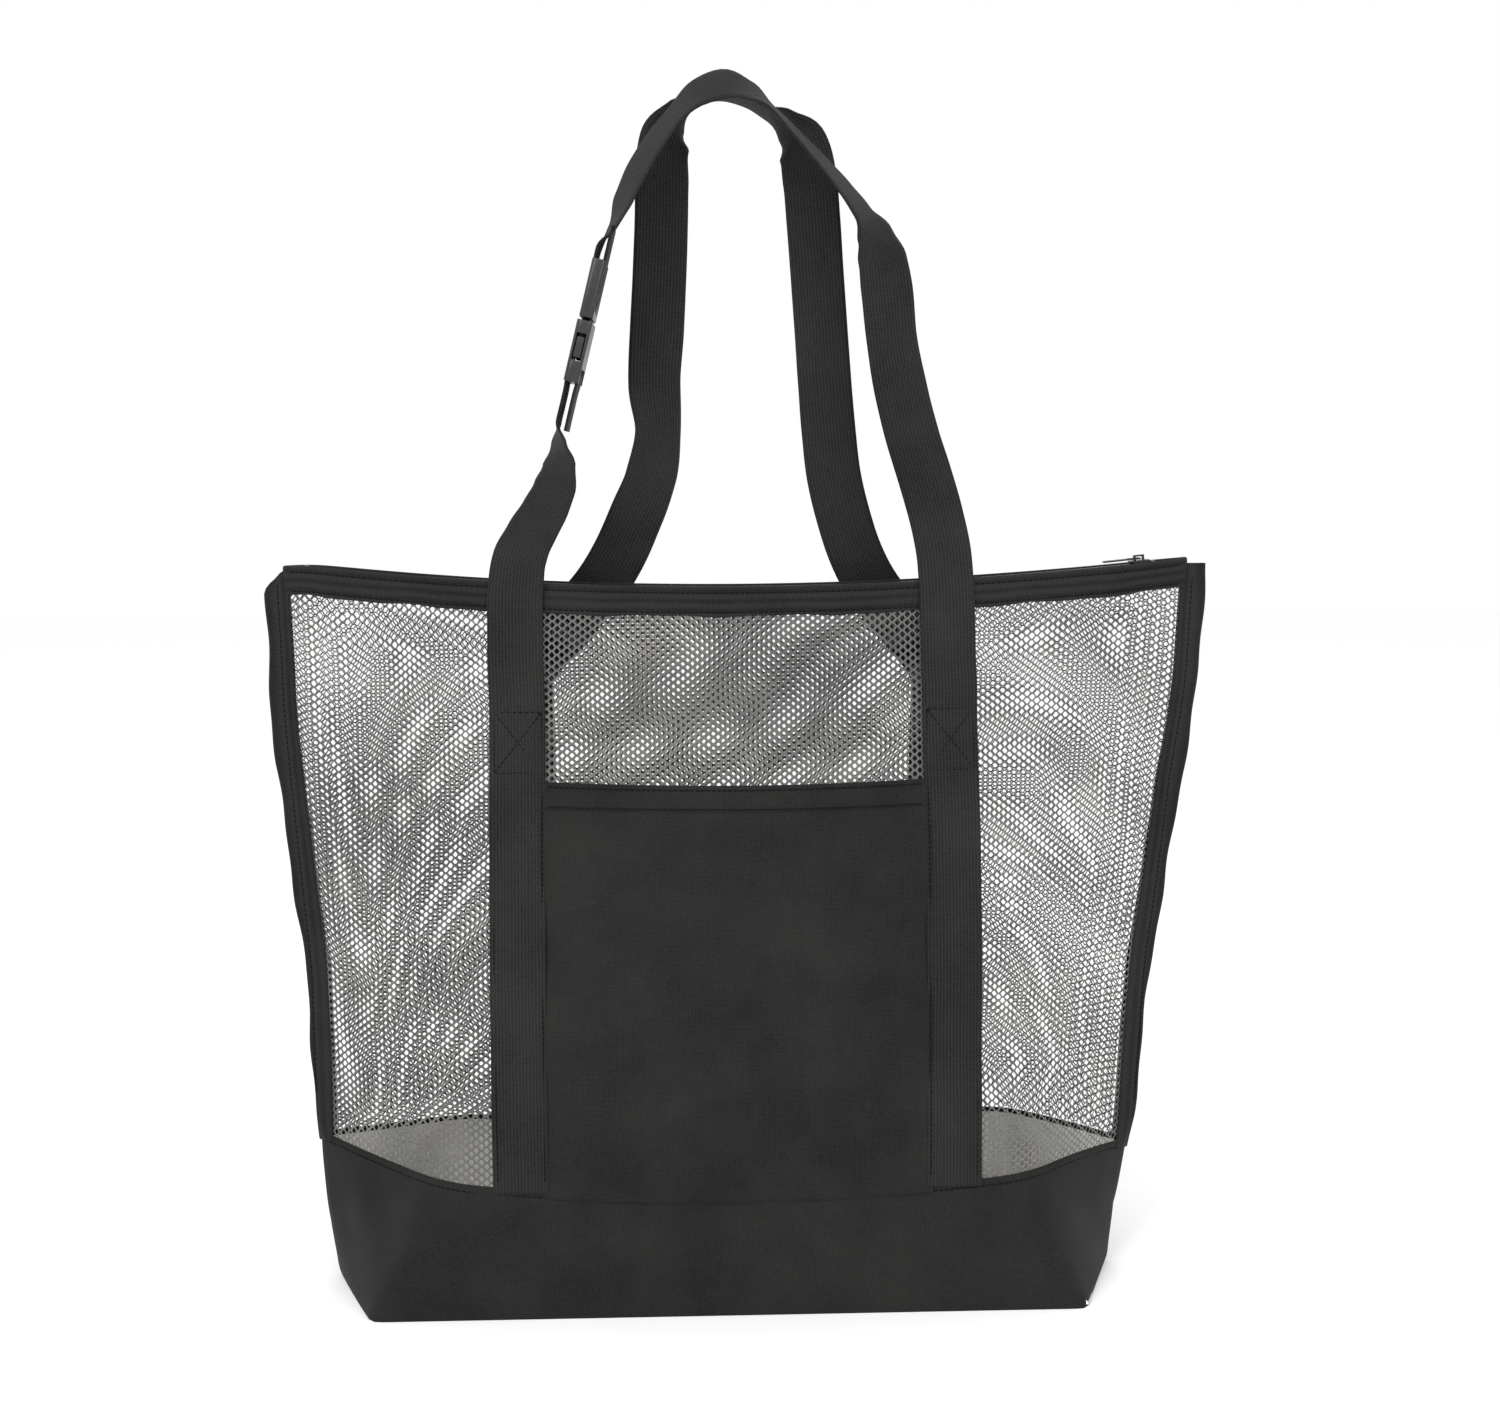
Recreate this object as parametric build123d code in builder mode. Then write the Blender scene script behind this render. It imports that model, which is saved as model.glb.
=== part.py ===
"""Beach bag: a mesh tote with a boxed fabric base, a zipped mouth, a front pocket and
two webbing handles, one of them joined by a side-release buckle.

Frame: origin at the centre of the base's underside, +Z up, the pocket faces -Y.
Millimetres. Soft pieces are plain closed solids of the right size and place.
"""

import os
from math import asin, cos, degrees, radians, sin, sqrt

from build123d import *

os.makedirs("parts", exist_ok=True)

# Outline of the soft body: height, seam half width, half width of the flat front, half depth
OUTLINE = [
    (0, 250, 224, 75),
    (44, 261, 202, 71),
    (86, 265, 182, 66),
    (208, 268.5, 165, 60),
    (308, 279, 160, 44),
    (384, 287, 165, 26),
    (478, 290, 275, 9.5),
]
WALL = 1.5
BASE_FLOOR = 1.5
SIDE_REACH = 400
PANEL_REACH = 120.0

# Hem and base seam are shallow arcs that sag in the middle
HEM_MIDDLE = 455.0
HEM_CORNER_RISE = 16.5
HEM_HALF = 290.0
HEM_RADIUS = (HEM_HALF**2 + HEM_CORNER_RISE**2) / (2 * HEM_CORNER_RISE)
HEM_BAND = 18.0
HEM_THICK = 1.2
HEM_END_GAP = 6.0
HEM_LAYER_LOW = 308.0
BASE_SEAM_MIDDLE = 75.0
BASE_SEAM_CORNER_RISE = 21.0
BASE_SEAM_HALF = 256.0
BASE_SEAM_RADIUS = (BASE_SEAM_HALF**2 + BASE_SEAM_CORNER_RISE**2) / (2 * BASE_SEAM_CORNER_RISE)

# Stiffener in the base
BOARD_THICK = 2.5
BOARD_GAP = 1.0

# Side seam bindings: narrow where they run under the base, full width from a height up
BINDING_LOW_WIDE = 4.0
BINDING_WIDE = 11.0
BINDING_FULL_FROM = 348.0
BINDING_THICK = 3.0
BINDING_TOP_DROP = 7.0

# Webbing
WEB_WIDE = 35.0
WEB_THICK = 2.0
STRAP_X = 136.0
STRAP_TOP = 383.0
STRAP_BOTTOM = 84.0
STITCH_BOX_LOW = 339.0
STITCH_WIDE = 1.2
STITCH_PROUD = 0.5
STITCH_MARGIN = 3.0

# Front pocket
POCKET_HALF = STRAP_X - WEB_WIDE / 2
POCKET_LOW = 78.0
POCKET_TOP = 335.0
POCKET_GAP = 7.0
POCKET_HEM = 16.0

# Zip: the chain follows the hem arc just under the hem
CHAIN_DROP = 1.5
CHAIN_HALF = 269.0
CHAIN_THICK = 2.8
CHAIN_SLOT = 0.8
CHAIN_OUTER = 3.4
TAPE_THICK = 0.8
STOP_LONG = 2.5
STOP_GAP = 0.5
STOP_OVER = 0.4
SLIDER_X = 262.0
SLIDER_LONG = 13.0
SLIDER_WIDE = 10.0
SLIDER_ROUND = 2.0
PLATE_THICK = 1.2
PLATE_CLEAR = 0.5
FLANGE_LONG = 9.0
FLANGE_WIDE = 0.8
FLANGE_DROP = 1.0
BRIDGE_THICK = 0.9
BRIDGE_START = 2.0
BRIDGE_LONG = 3.0
BAIL_LONG = 7.0
BAIL_THICK = 2.0
BAIL_HIGH = 3.5
BAIL_EYE_LONG = 4.0
BAIL_EYE_HIGH = 2.4
PULL_PIN_RADIUS = 0.6
PULL_INNER = 2.4
PULL_OUTER = 7.0
PULL_PIN_HALF = 3.2
PULL_THICK = 1.0
PULL_NOSE = 0.85
PULL_ROUND = 1.0
PULL_ARM_LONG = 8.0
PULL_LONG = 24.0

# Buckle: its axis leans inward and it stands edge-on to the front
BUCKLE_BASE = (-99.6, -12.0, 583.0)
BUCKLE_LEAN = 14.0
BUCKLE_WIDE = 46.0
BUCKLE_THICK = 9.5
SOCKET_LONG = 38.0
SOCKET_FLOOR = 11.0
SOCKET_WALL = 3.0
SOCKET_CAVITY_THICK = 6.0
SOCKET_ROUND = 3.0
WINDOW_LOW = 13.0
WINDOW_HIGH = 30.0
RAIL_WIDE = 4.5
BAR_LONG = 4.0
BAR_THICK = 3.6
SOCKET_SLOT_TOP = 9.0
PLUG_LOW = 40.0
PLUG_WALL_LONG = 5.0
PLUG_HIGH = 76.0
PLUG_WIDE = 44.0
PLUG_THICK = 8.5
PLUG_RAIL_WIDE = 3.7
PLUG_ROUND = 2.5
PLUG_BAR_LOW = 55.0
PLUG_TOP_BAR_LONG = 4.0
PLUG_TOP_BAR_THICK = 2.6
TONGUE_WIDE = 6.0
TONGUE_TIP = 18.0
PRONG_W = 14.0
PRONG_WIDE = 4.0
PRONG_THICK = 4.8
PRONG_PIVOT = 37.6
PRONG_ROOT_RADIUS = 2.0
PRONG_TIP = 15.0
PAD_TOP = 28.0
PAD_REACH = 22.0
WRAP_CLEAR = 0.2
SOCKET_TURN = BAR_LONG
LOWER_LEG_END = -26.0
LOWER_TAIL_END = -30.0
PLUG_TURN = PLUG_BAR_LOW
UPPER_LEG_END = 84.0
UPPER_TAIL_END = 98.0

# Stations of the free handles: centre line point, then the direction of the webbing's width.
# The stand-off keeps each handle clear of the hem it passes.
HANDLE_START = 385.5
HANDLE_STAND = WEB_THICK / 2 + HEM_THICK + 0.5
FRONT_RIGHT_ARM = [
    (135.5, 0, HANDLE_START, (1, 0, 0)),
    (135.5, 0, 428, (1, 0, 0)),
    (135, -16, 458, (1, 0, 0)),
    (133.5, -14.5, 476, (1, 0.02, 0)),
    (128.8, -13, 499, (1, 0.08, 0)),
    (121.5, -13, 524, (1, 0.1, 0)),
    (113.5, -12.5, 549, (1, 0.15, 0)),
    (107, -12, 574, (1, 0.2, 0)),
    (100, -12, 611, (1, 0.35, 0)),
    (96, -12, 640, (1, 0.5, 0)),
    (92.5, -12, 659, (1, 0.85, 0)),
    (88, -12, 673, (0.6, 1, 0)),
    (81.5, -13, 687, (0.25, 1, 0)),
    (70, -14, 702, (0, 1, 0)),
    (55, -14, 719, (0, 1, 0)),
    (40, -14, 735, (0, 1, 0)),
    (25, -14, 750, (0, 1, 0.3)),
    (11, -14, 760, (0, 1, 0.6)),
    (-4, -14, 764, (0, 1, 0.85)),
    (-19, -14, 759, (0, 1, 0.85)),
    (-33, -14, 747, (0, 1, 0.7)),
    (-46, -14, 731, (0, 1, 0.5)),
    (-57, -14, 714, (0.1, 1, 0.3)),
    (-66, -13.5, 696, (0.2, 1, 0)),
    (-73.5, -12.5, 678, (0.1, 1, 0)),
]
FRONT_LEFT_ARM = [
    (-137, 0, HANDLE_START, (-1, 0, 0)),
    (-137.5, 0, 428, (-1, 0, 0)),
    (-137, -16.8, 458, (-1, 0.05, 0)),
    (-134.5, -15.6, 474, (-1, 0.2, 0)),
    (-128, -14, 488, (-1, 0.4, 0)),
    (-119, -13.5, 503, (-1, 0.55, 0)),
    (-112, -13, 518, (-1, 0.75, 0)),
    (-109, -12.5, 532, (-0.8, 1, 0)),
    (-109, -12, 545, (-0.35, 1, 0)),
]
BACK_ARMS = [
    (136, 0, HANDLE_START, (1, 0, 0)),
    (136, 0, 391, (1, 0, 0)),
    (131.5, 0, 403, (1, 0, 0)),
    (119, 0, 419, (1, 0, 0)),
    (103, 0, 438, (1, 0, 0)),
    (89, 16.2, 457, (1, 0, 0)),
    (80, 15, 475, (1, -0.03, 0)),
    (72, 14.5, 499, (1, -0.06, 0)),
    (66, 14.5, 524, (1, -0.1, 0)),
    (62.5, 14.5, 553, (1, -0.2, 0)),
    (60, 14.5, 583, (1, -0.3, 0)),
    (57.5, 14.5, 618, (1, -0.35, 0)),
    (55, 14.5, 653, (1, -0.35, 0)),
    (52.5, 14.5, 688, (1, -0.3, 0)),
    (51, 14.5, 708, (1, -0.3, 0)),
    (48.5, 16.5, 728, (1, -0.4, 0)),
    (42, 20, 746, (0.6, -1, 0)),
    (30, 22.5, 759, (0.1, -1, 0)),
    (14, 22.5, 765, (0, -1, 0)),
    (-8, 22.5, 765, (0, -1, 0)),
    (-24, 22.5, 759, (-0.1, -1, 0)),
    (-36, 20, 746, (-0.6, -1, 0)),
    (-42.5, 16.5, 728, (-1, -0.4, 0)),
    (-43, 14.5, 708, (-1, -0.3, 0)),
    (-43.5, 14.5, 688, (-1, -0.3, 0)),
    (-45, 14.5, 653, (-1, -0.25, 0)),
    (-47, 14.5, 618, (-1, -0.2, 0)),
    (-49, 14.5, 583, (-1, -0.35, 0)),
    (-47, 14.5, 553, (-1, -0.7, 0)),
    (-52, 14.5, 524, (-1, -0.4, 0)),
    (-62, 14.5, 499, (-1, -0.15, 0)),
    (-73, 15, 475, (-1, -0.03, 0)),
    (-84, 16.2, 457, (-1, 0, 0)),
    (-100, 0, 438, (-1, 0, 0)),
    (-117, 0, 419, (-1, 0, 0)),
    (-130.5, 0, 403, (-1, 0, 0)),
    (-136, 0, 391, (-1, 0, 0)),
    (-136, 0, HANDLE_START, (-1, 0, 0)),
]


def outline_at(height, column):
    """Value of one column of the outline at a height, straight between stations."""
    for low, high in zip(OUTLINE, OUTLINE[1:]):
        if height <= high[0]:
            part = (height - low[0]) / (high[0] - low[0])
            return low[column] + part * (high[column] - low[column])
    return OUTLINE[-1][column]


def half_depth(height):
    """Distance of the front face from the middle plane at a height."""
    return outline_at(height, 3)


def section_points(height, grow):
    """Six corners of the bag's section at a height, every wall moved out by grow."""
    seam, flat, depth = (outline_at(height, column) for column in (1, 2, 3))
    run = seam - flat
    slant = sqrt(run**2 + depth**2)
    seam_x = seam + grow * slant / depth
    flat_x = (seam * depth + grow * slant - run * (depth + grow)) / depth
    edge_y = depth + grow
    return [
        (seam_x, 0),
        (flat_x, edge_y),
        (-flat_x, edge_y),
        (-seam_x, 0),
        (-flat_x, -edge_y),
        (flat_x, -edge_y),
    ]


def bag_block(grow, start):
    """Solid block of the bag's outline from a height up."""
    heights = [start] + [row[0] for row in OUTLINE if row[0] > start]
    with BuildPart() as block:
        for height in heights:
            with BuildSketch(Plane.XY.offset(height)):
                with BuildLine():
                    Polyline(*section_points(height, grow), close=True)
                make_face()
        loft(ruled=True)
    return block.part


def hem_z(across, drop=0.0):
    """Height of the hem arc, or of the arc that lies drop below it."""
    return HEM_MIDDLE + HEM_RADIUS - sqrt((HEM_RADIUS + drop) ** 2 - across**2)


def base_seam_z(across):
    """Height of the seam between the base and the mesh panels."""
    return BASE_SEAM_MIDDLE + BASE_SEAM_RADIUS - sqrt(BASE_SEAM_RADIUS**2 - across**2)


def front_zone(low, high, half, depth_from=0.0, depth_to=PANEL_REACH):
    """Block between two height curves, in front of the middle plane (negative depth: behind)."""
    with BuildPart() as zone:
        with BuildSketch(Plane.XZ.offset(depth_from)):
            with BuildLine():
                lower = ThreePointArc((-half, low(half)), (0, low(0)), (half, low(half)))
                upper = ThreePointArc((-half, high(half)), (0, high(0)), (half, high(half)))
                Line(lower @ 0, upper @ 0)
                Line(lower @ 1, upper @ 1)
            make_face()
        extrude(amount=depth_to - depth_from)
    return zone.part


def skin_block(x_low, x_high, z_low, z_high, inner, outer, side=-1):
    """Layer that follows the front (side -1) or back (side 1) face between two offsets."""
    knots = [row[0] for row in OUTLINE if z_low < row[0] < z_high]
    heights = [z_low, *knots, z_high]
    inside = [(side * (half_depth(z) + inner), z) for z in heights]
    outside = [(side * (half_depth(z) + outer), z) for z in reversed(heights)]
    with BuildPart() as layer:
        with BuildSketch(Plane.YZ.offset(x_low)):
            with BuildLine():
                Polyline(*inside, *outside, close=True)
            make_face()
        extrude(amount=x_high - x_low)
    return layer.part


def webbing(stations, side):
    """Webbing lofted through stations; a station with y 0 lies on the bag's face."""
    points = []
    for x, y, z, _ in stations:
        points.append(Vector(x, y or side * (half_depth(z) + HANDLE_STAND), z))
    with BuildPart() as strip:
        for index, point in enumerate(points):
            before = points[max(index - 1, 0)]
            after = points[min(index + 1, len(points) - 1)]
            along = (after - before).normalized()
            wide = Vector(*stations[index][3])
            wide = (wide - along * wide.dot(along)).normalized()
            with BuildSketch(Plane(origin=point, x_dir=wide, z_dir=along)):
                Rectangle(WEB_WIDE, WEB_THICK)
        loft(ruled=True)
    return strip.part


def save(name, part):
    part.label = name
    export_step(part, f"parts/{name}.step")


outer_block = bag_block(0, 0)
inner_block = bag_block(-WALL, BASE_FLOOR)

# Base shell: fabric floor and skirt up to the base seam
with BuildPart() as base_shell:
    add(outer_block)
    add(inner_block, mode=Mode.SUBTRACT)
    add(
        front_zone(
            base_seam_z, lambda x: base_seam_z(x) + 2 * SIDE_REACH, SIDE_REACH, -PANEL_REACH
        ),
        mode=Mode.SUBTRACT,
    )
save("base_shell", base_shell.part)

# Base board: stiffener that lies loose on the floor of the base
with BuildPart() as base_board:
    add(bag_block(-WALL - BOARD_GAP, BASE_FLOOR))
    with BuildSketch(Plane.XY.offset(BASE_FLOOR)):
        Rectangle(2 * SIDE_REACH, 2 * SIDE_REACH)
    extrude(amount=BOARD_THICK, mode=Mode.INTERSECT)
save("base_board", base_board.part)

# Mesh panels: one in front and one behind, joined at the side seams
for name, reach in (("front_mesh_panel", PANEL_REACH), ("back_mesh_panel", -PANEL_REACH)):
    with BuildPart() as mesh_panel:
        add(outer_block)
        add(inner_block, mode=Mode.SUBTRACT)
        add(front_zone(base_seam_z, hem_z, SIDE_REACH, 0, reach), mode=Mode.INTERSECT)
    save(name, mesh_panel.part)

# Hem bindings: tape around the top edge of each panel
hem_layer = bag_block(HEM_THICK, HEM_LAYER_LOW)
for name, reach in (("front_hem_binding", PANEL_REACH), ("back_hem_binding", -PANEL_REACH)):
    with BuildPart() as hem_binding:
        add(hem_layer)
        add(outer_block, mode=Mode.SUBTRACT)
        add(
            front_zone(lambda x: hem_z(x, HEM_BAND), hem_z, HEM_HALF - HEM_END_GAP, 0, reach),
            mode=Mode.INTERSECT,
        )
    save(name, hem_binding.part)

def binding_wide(height):
    """How far the side binding stands out from the seam at a height."""
    low = base_seam_z(BASE_SEAM_HALF)
    part = min(1, (height - low) / (BINDING_FULL_FROM - low))
    return BINDING_LOW_WIDE + part * (BINDING_WIDE - BINDING_LOW_WIDE)


# Side bindings: tape folded over the seam allowance, standing out from each side seam
for name, side in (("left_side_binding", -1), ("right_side_binding", 1)):
    binding_low = base_seam_z(BASE_SEAM_HALF)
    binding_high = hem_z(HEM_HALF, BINDING_TOP_DROP)
    inner_heights = [row[0] for row in OUTLINE if binding_low < row[0] < binding_high]
    heights = sorted([binding_low, *inner_heights, BINDING_FULL_FROM, binding_high])
    seam_line = [(side * outline_at(z, 1), z) for z in heights]
    edge_line = [(x + side * binding_wide(z), z) for x, z in reversed(seam_line)]
    with BuildPart() as side_binding:
        with BuildSketch(Plane.XZ):
            with BuildLine():
                Polyline(*seam_line, *edge_line, close=True)
            make_face()
        extrude(amount=BINDING_THICK / 2, both=True)
    save(name, side_binding.part)

# Sewn straps: four lengths of webbing from the base seam up to the stitched boxes
for end, side in (("front", -1), ("back", 1)):
    for hand, x in (("left", -STRAP_X), ("right", STRAP_X)):
        edges = (x - WEB_WIDE / 2, x + WEB_WIDE / 2)
        save(
            f"{end}_strap_{hand}",
            skin_block(*edges, STRAP_BOTTOM, STRAP_TOP, 0, WEB_THICK, side),
        )

# Box stitches: an outlined cross on the top of each sewn strap
with BuildPart() as box_stitches:
    for side in (-1, 1):
        add(
            skin_block(
                -STRAP_X - WEB_WIDE / 2,
                STRAP_X + WEB_WIDE / 2,
                STITCH_BOX_LOW,
                STRAP_TOP,
                WEB_THICK,
                WEB_THICK + STITCH_PROUD,
                side,
            )
        )
    box_middle = (STITCH_BOX_LOW + STRAP_TOP) / 2
    box_wide = WEB_WIDE - 2 * STITCH_MARGIN
    box_high = STRAP_TOP - STITCH_BOX_LOW - 2 * STITCH_MARGIN
    cross_long = sqrt(box_wide**2 + box_high**2) - 2 * STITCH_WIDE
    cross_angle = degrees(asin(box_high / sqrt(box_wide**2 + box_high**2)))
    with BuildSketch(Plane.XZ):
        with Locations((-STRAP_X, box_middle), (STRAP_X, box_middle)):
            Rectangle(box_wide, box_high)
            Rectangle(box_wide - 2 * STITCH_WIDE, box_high - 2 * STITCH_WIDE, mode=Mode.SUBTRACT)
            Rectangle(cross_long, STITCH_WIDE, rotation=cross_angle)
            Rectangle(cross_long, STITCH_WIDE, rotation=-cross_angle)
    extrude(amount=PANEL_REACH, both=True, mode=Mode.INTERSECT)
save("box_stitches", box_stitches.part)

# Front pocket: a shallow open-topped pouch between the front straps
with BuildPart() as front_pocket:
    add(skin_block(-POCKET_HALF, POCKET_HALF, POCKET_LOW, POCKET_TOP, 0, POCKET_GAP + WALL))
    add(
        skin_block(
            WALL - POCKET_HALF,
            POCKET_HALF - WALL,
            POCKET_LOW + WALL,
            POCKET_TOP,
            0,
            POCKET_GAP,
        ),
        mode=Mode.SUBTRACT,
    )
save("front_pocket", front_pocket.part)

# Pocket hem: folded tape along the pocket's mouth
pocket_face = POCKET_GAP + WALL
save(
    "pocket_hem",
    skin_block(
        -POCKET_HALF,
        POCKET_HALF,
        POCKET_TOP - POCKET_HEM,
        POCKET_TOP,
        pocket_face,
        pocket_face + HEM_THICK,
    ),
)

# Zip tapes: bands from each panel's inner face to the chain
for name, side in (("zip_tape_front", 1), ("zip_tape_back", -1)):
    with BuildPart() as zip_tape:
        add(inner_block)
        add(
            front_zone(
                lambda x: hem_z(x, CHAIN_DROP + TAPE_THICK / 2),
                lambda x: hem_z(x, CHAIN_DROP - TAPE_THICK / 2),
                CHAIN_HALF,
                side * CHAIN_OUTER,
                side * PANEL_REACH,
            ),
            mode=Mode.INTERSECT,
        )
    save(name, zip_tape.part)

# Zip teeth: each row is one plain rail; the slider's bridge runs in the gap between them
for name, side in (("zip_teeth_front", 1), ("zip_teeth_back", -1)):
    save(
        name,
        front_zone(
            lambda x: hem_z(x, CHAIN_DROP + CHAIN_THICK / 2),
            lambda x: hem_z(x, CHAIN_DROP - CHAIN_THICK / 2),
            CHAIN_HALF,
            side * CHAIN_SLOT,
            side * CHAIN_OUTER,
        ),
    )


def zip_plane(across):
    """Plane on the chain's middle line: X along the chain, Z away from the bag."""
    lean = asin(across / (HEM_RADIUS + CHAIN_DROP))
    return Plane(
        origin=(across, 0, hem_z(across, CHAIN_DROP)),
        x_dir=(cos(lean), 0, sin(lean)),
        z_dir=(-sin(lean), 0, cos(lean)),
    )


# Zip end stops
stop_high = CHAIN_THICK + 2 * STOP_OVER
for name, side in (("zip_stop_left", -1), ("zip_stop_right", 1)):
    stop_at = zip_plane(side * (CHAIN_HALF + STOP_GAP + STOP_LONG / 2))
    with BuildPart() as zip_stop:
        with BuildSketch(stop_at.offset(-stop_high / 2)):
            RectangleRounded(STOP_LONG, 2 * CHAIN_OUTER, STOP_OVER)
        extrude(amount=stop_high)
    save(name, zip_stop.part)

# Zip slider: two plates joined by a bridge, with side flanges and a bail on top
slider_at = zip_plane(SLIDER_X)
plate_low = CHAIN_THICK / 2 + PLATE_CLEAR
plate_top = plate_low + PLATE_THICK
with BuildPart() as zip_slider:
    for height in (-plate_top, plate_low):
        with BuildSketch(slider_at.offset(height)):
            RectangleRounded(SLIDER_LONG, SLIDER_WIDE, SLIDER_ROUND)
        extrude(amount=PLATE_THICK)
    flange_y = (SLIDER_WIDE - FLANGE_WIDE) / 2
    for height in (-plate_low, plate_low - FLANGE_DROP):
        with BuildSketch(slider_at.offset(height)):
            with Locations((0, flange_y), (0, -flange_y)):
                Rectangle(FLANGE_LONG, FLANGE_WIDE)
        extrude(amount=FLANGE_DROP)
    with BuildSketch(slider_at.offset(-plate_low)):
        with Locations((BRIDGE_START + BRIDGE_LONG / 2, 0)):
            Rectangle(BRIDGE_LONG, BRIDGE_THICK)
    extrude(amount=2 * plate_low)
    with BuildSketch(slider_at.offset(plate_top)):
        Rectangle(BAIL_LONG, BAIL_THICK)
    extrude(amount=BAIL_HIGH)
    with BuildSketch(slider_at.offset(plate_top)):
        Rectangle(BAIL_EYE_LONG, BAIL_THICK)
    extrude(amount=BAIL_EYE_HIGH, mode=Mode.SUBTRACT)
save("zip_slider", zip_slider.part)

# Zip pull: a pin through the bail, two arms and a flat tab, lying along the chain
pin_height = plate_top + BAIL_EYE_HIGH / 2
pull_side = Plane(
    origin=slider_at.from_local_coords((0, 0, pin_height)),
    x_dir=slider_at.x_dir,
    z_dir=slider_at.y_dir,
)
with BuildPart() as zip_pull:
    with BuildSketch(slider_at.offset(pin_height - PULL_THICK / 2)):
        with Locations((PULL_NOSE - PULL_LONG / 2, 0)):
            RectangleRounded(PULL_LONG, PULL_OUTER, PULL_ROUND)
        with Locations((PULL_NOSE - PULL_ARM_LONG / 2, 0)):
            Rectangle(PULL_ARM_LONG + PULL_ROUND, 2 * PULL_INNER, mode=Mode.SUBTRACT)
    extrude(amount=PULL_THICK)
    with BuildSketch(pull_side):
        Circle(PULL_PIN_RADIUS)
    extrude(amount=PULL_PIN_HALF, both=True)
save("zip_pull", zip_pull.part)

# Buckle plane: Z runs up the strap, X is the buckle's width, Y its thickness
lean = radians(BUCKLE_LEAN)
buckle = Plane(origin=BUCKLE_BASE, x_dir=(0, 1, 0), z_dir=(sin(lean), 0, cos(lean)))


def buckle_bar(low, long, wide, thick):
    """Rectangular bar across the buckle, from a height up."""
    with BuildPart() as bar:
        with BuildSketch(buckle.offset(low)):
            Rectangle(wide, thick)
        extrude(amount=long)
    return bar.part


# Buckle socket: hollow shell with side windows for the prongs and a bar for the strap
slot_wide = BUCKLE_WIDE - 2 * RAIL_WIDE
cavity_wide = BUCKLE_WIDE - 2 * SOCKET_WALL
cavity_long = SOCKET_LONG - SOCKET_FLOOR
window_long = WINDOW_HIGH - WINDOW_LOW
with BuildPart() as buckle_socket:
    with BuildSketch(buckle):
        RectangleRounded(BUCKLE_WIDE, BUCKLE_THICK, SOCKET_ROUND)
    extrude(amount=SOCKET_LONG)
    add(buckle_bar(0, SOCKET_SLOT_TOP, slot_wide, BUCKLE_THICK), mode=Mode.SUBTRACT)
    add(buckle_bar(0, BAR_LONG, slot_wide, BAR_THICK))
    add(
        buckle_bar(SOCKET_FLOOR, cavity_long, cavity_wide, SOCKET_CAVITY_THICK),
        mode=Mode.SUBTRACT,
    )
    add(
        buckle_bar(WINDOW_LOW, window_long, BUCKLE_WIDE, SOCKET_CAVITY_THICK),
        mode=Mode.SUBTRACT,
    )
save("buckle_socket", buckle_socket.part)

# Buckle plug: frame with two strap bars, a stiff middle tongue and the prongs' root wall
plug_open = PLUG_WIDE - 2 * PLUG_RAIL_WIDE
plug_open_low = PLUG_LOW + PLUG_WALL_LONG
plug_bar_top = PLUG_HIGH - PLUG_TOP_BAR_LONG
with BuildPart() as buckle_plug:
    with BuildSketch(buckle.offset(PLUG_LOW)):
        RectangleRounded(PLUG_WIDE, PLUG_THICK, PLUG_ROUND)
    extrude(amount=PLUG_HIGH - PLUG_LOW)
    add(
        buckle_bar(plug_open_low, PLUG_HIGH - plug_open_low, plug_open, PLUG_THICK),
        mode=Mode.SUBTRACT,
    )
    add(buckle_bar(PLUG_BAR_LOW, BAR_LONG, plug_open, BAR_THICK))
    add(buckle_bar(plug_bar_top, PLUG_TOP_BAR_LONG, plug_open, PLUG_TOP_BAR_THICK))
    add(buckle_bar(TONGUE_TIP, PLUG_LOW - TONGUE_TIP, TONGUE_WIDE, PRONG_THICK))
save("buckle_plug", buckle_plug.part)

# Buckle prongs: spring arms whose pads stand in the socket's side windows
for name, side in (("buckle_prong_rear", 1), ("buckle_prong_front", -1)):
    with BuildPart() as buckle_prong:
        with BuildSketch(buckle.offset(PRONG_TIP)):
            with Locations((side * PRONG_W, 0)):
                Rectangle(PRONG_WIDE, PRONG_THICK)
        extrude(amount=PRONG_PIVOT - PRONG_TIP)
        with BuildSketch(buckle.offset(PRONG_TIP)):
            with Locations((side * (PRONG_W + PAD_REACH) / 2, 0)):
                Rectangle(PAD_REACH - PRONG_W, PRONG_THICK)
        extrude(amount=PAD_TOP - PRONG_TIP)
        root = Plane(
            origin=buckle.from_local_coords((side * PRONG_W, 0, PRONG_PIVOT)),
            x_dir=buckle.x_dir,
            z_dir=buckle.y_dir,
        )
        with BuildSketch(root):
            Circle(PRONG_ROOT_RADIUS)
        extrude(amount=PRONG_THICK / 2, both=True)
    save(name, buckle_prong.part)


def webbing_wrap(turn_at, main_end, tail_end):
    """Side outline of webbing doubled round a bar: a half turn and two straight legs."""
    inner = BAR_THICK / 2 + WRAP_CLEAR
    outer = inner + WEB_THICK
    away = 1 if turn_at > main_end else -1
    side_plane = Plane(
        origin=buckle.from_local_coords((0, 0, 0)),
        x_dir=buckle.y_dir,
        z_dir=buckle.x_dir,
    )
    with BuildPart() as wrap:
        with BuildSketch(side_plane):
            with BuildLine():
                ThreePointArc((-outer, turn_at), (0, turn_at + away * outer), (outer, turn_at))
                ThreePointArc((-inner, turn_at), (0, turn_at + away * inner), (inner, turn_at))
                Polyline((outer, turn_at), (outer, main_end), (inner, main_end), (inner, turn_at))
                Polyline(
                    (-outer, turn_at), (-outer, tail_end), (-inner, tail_end), (-inner, turn_at)
                )
            make_face()
        extrude(amount=WEB_WIDE / 2, both=True)
    return wrap.part


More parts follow.
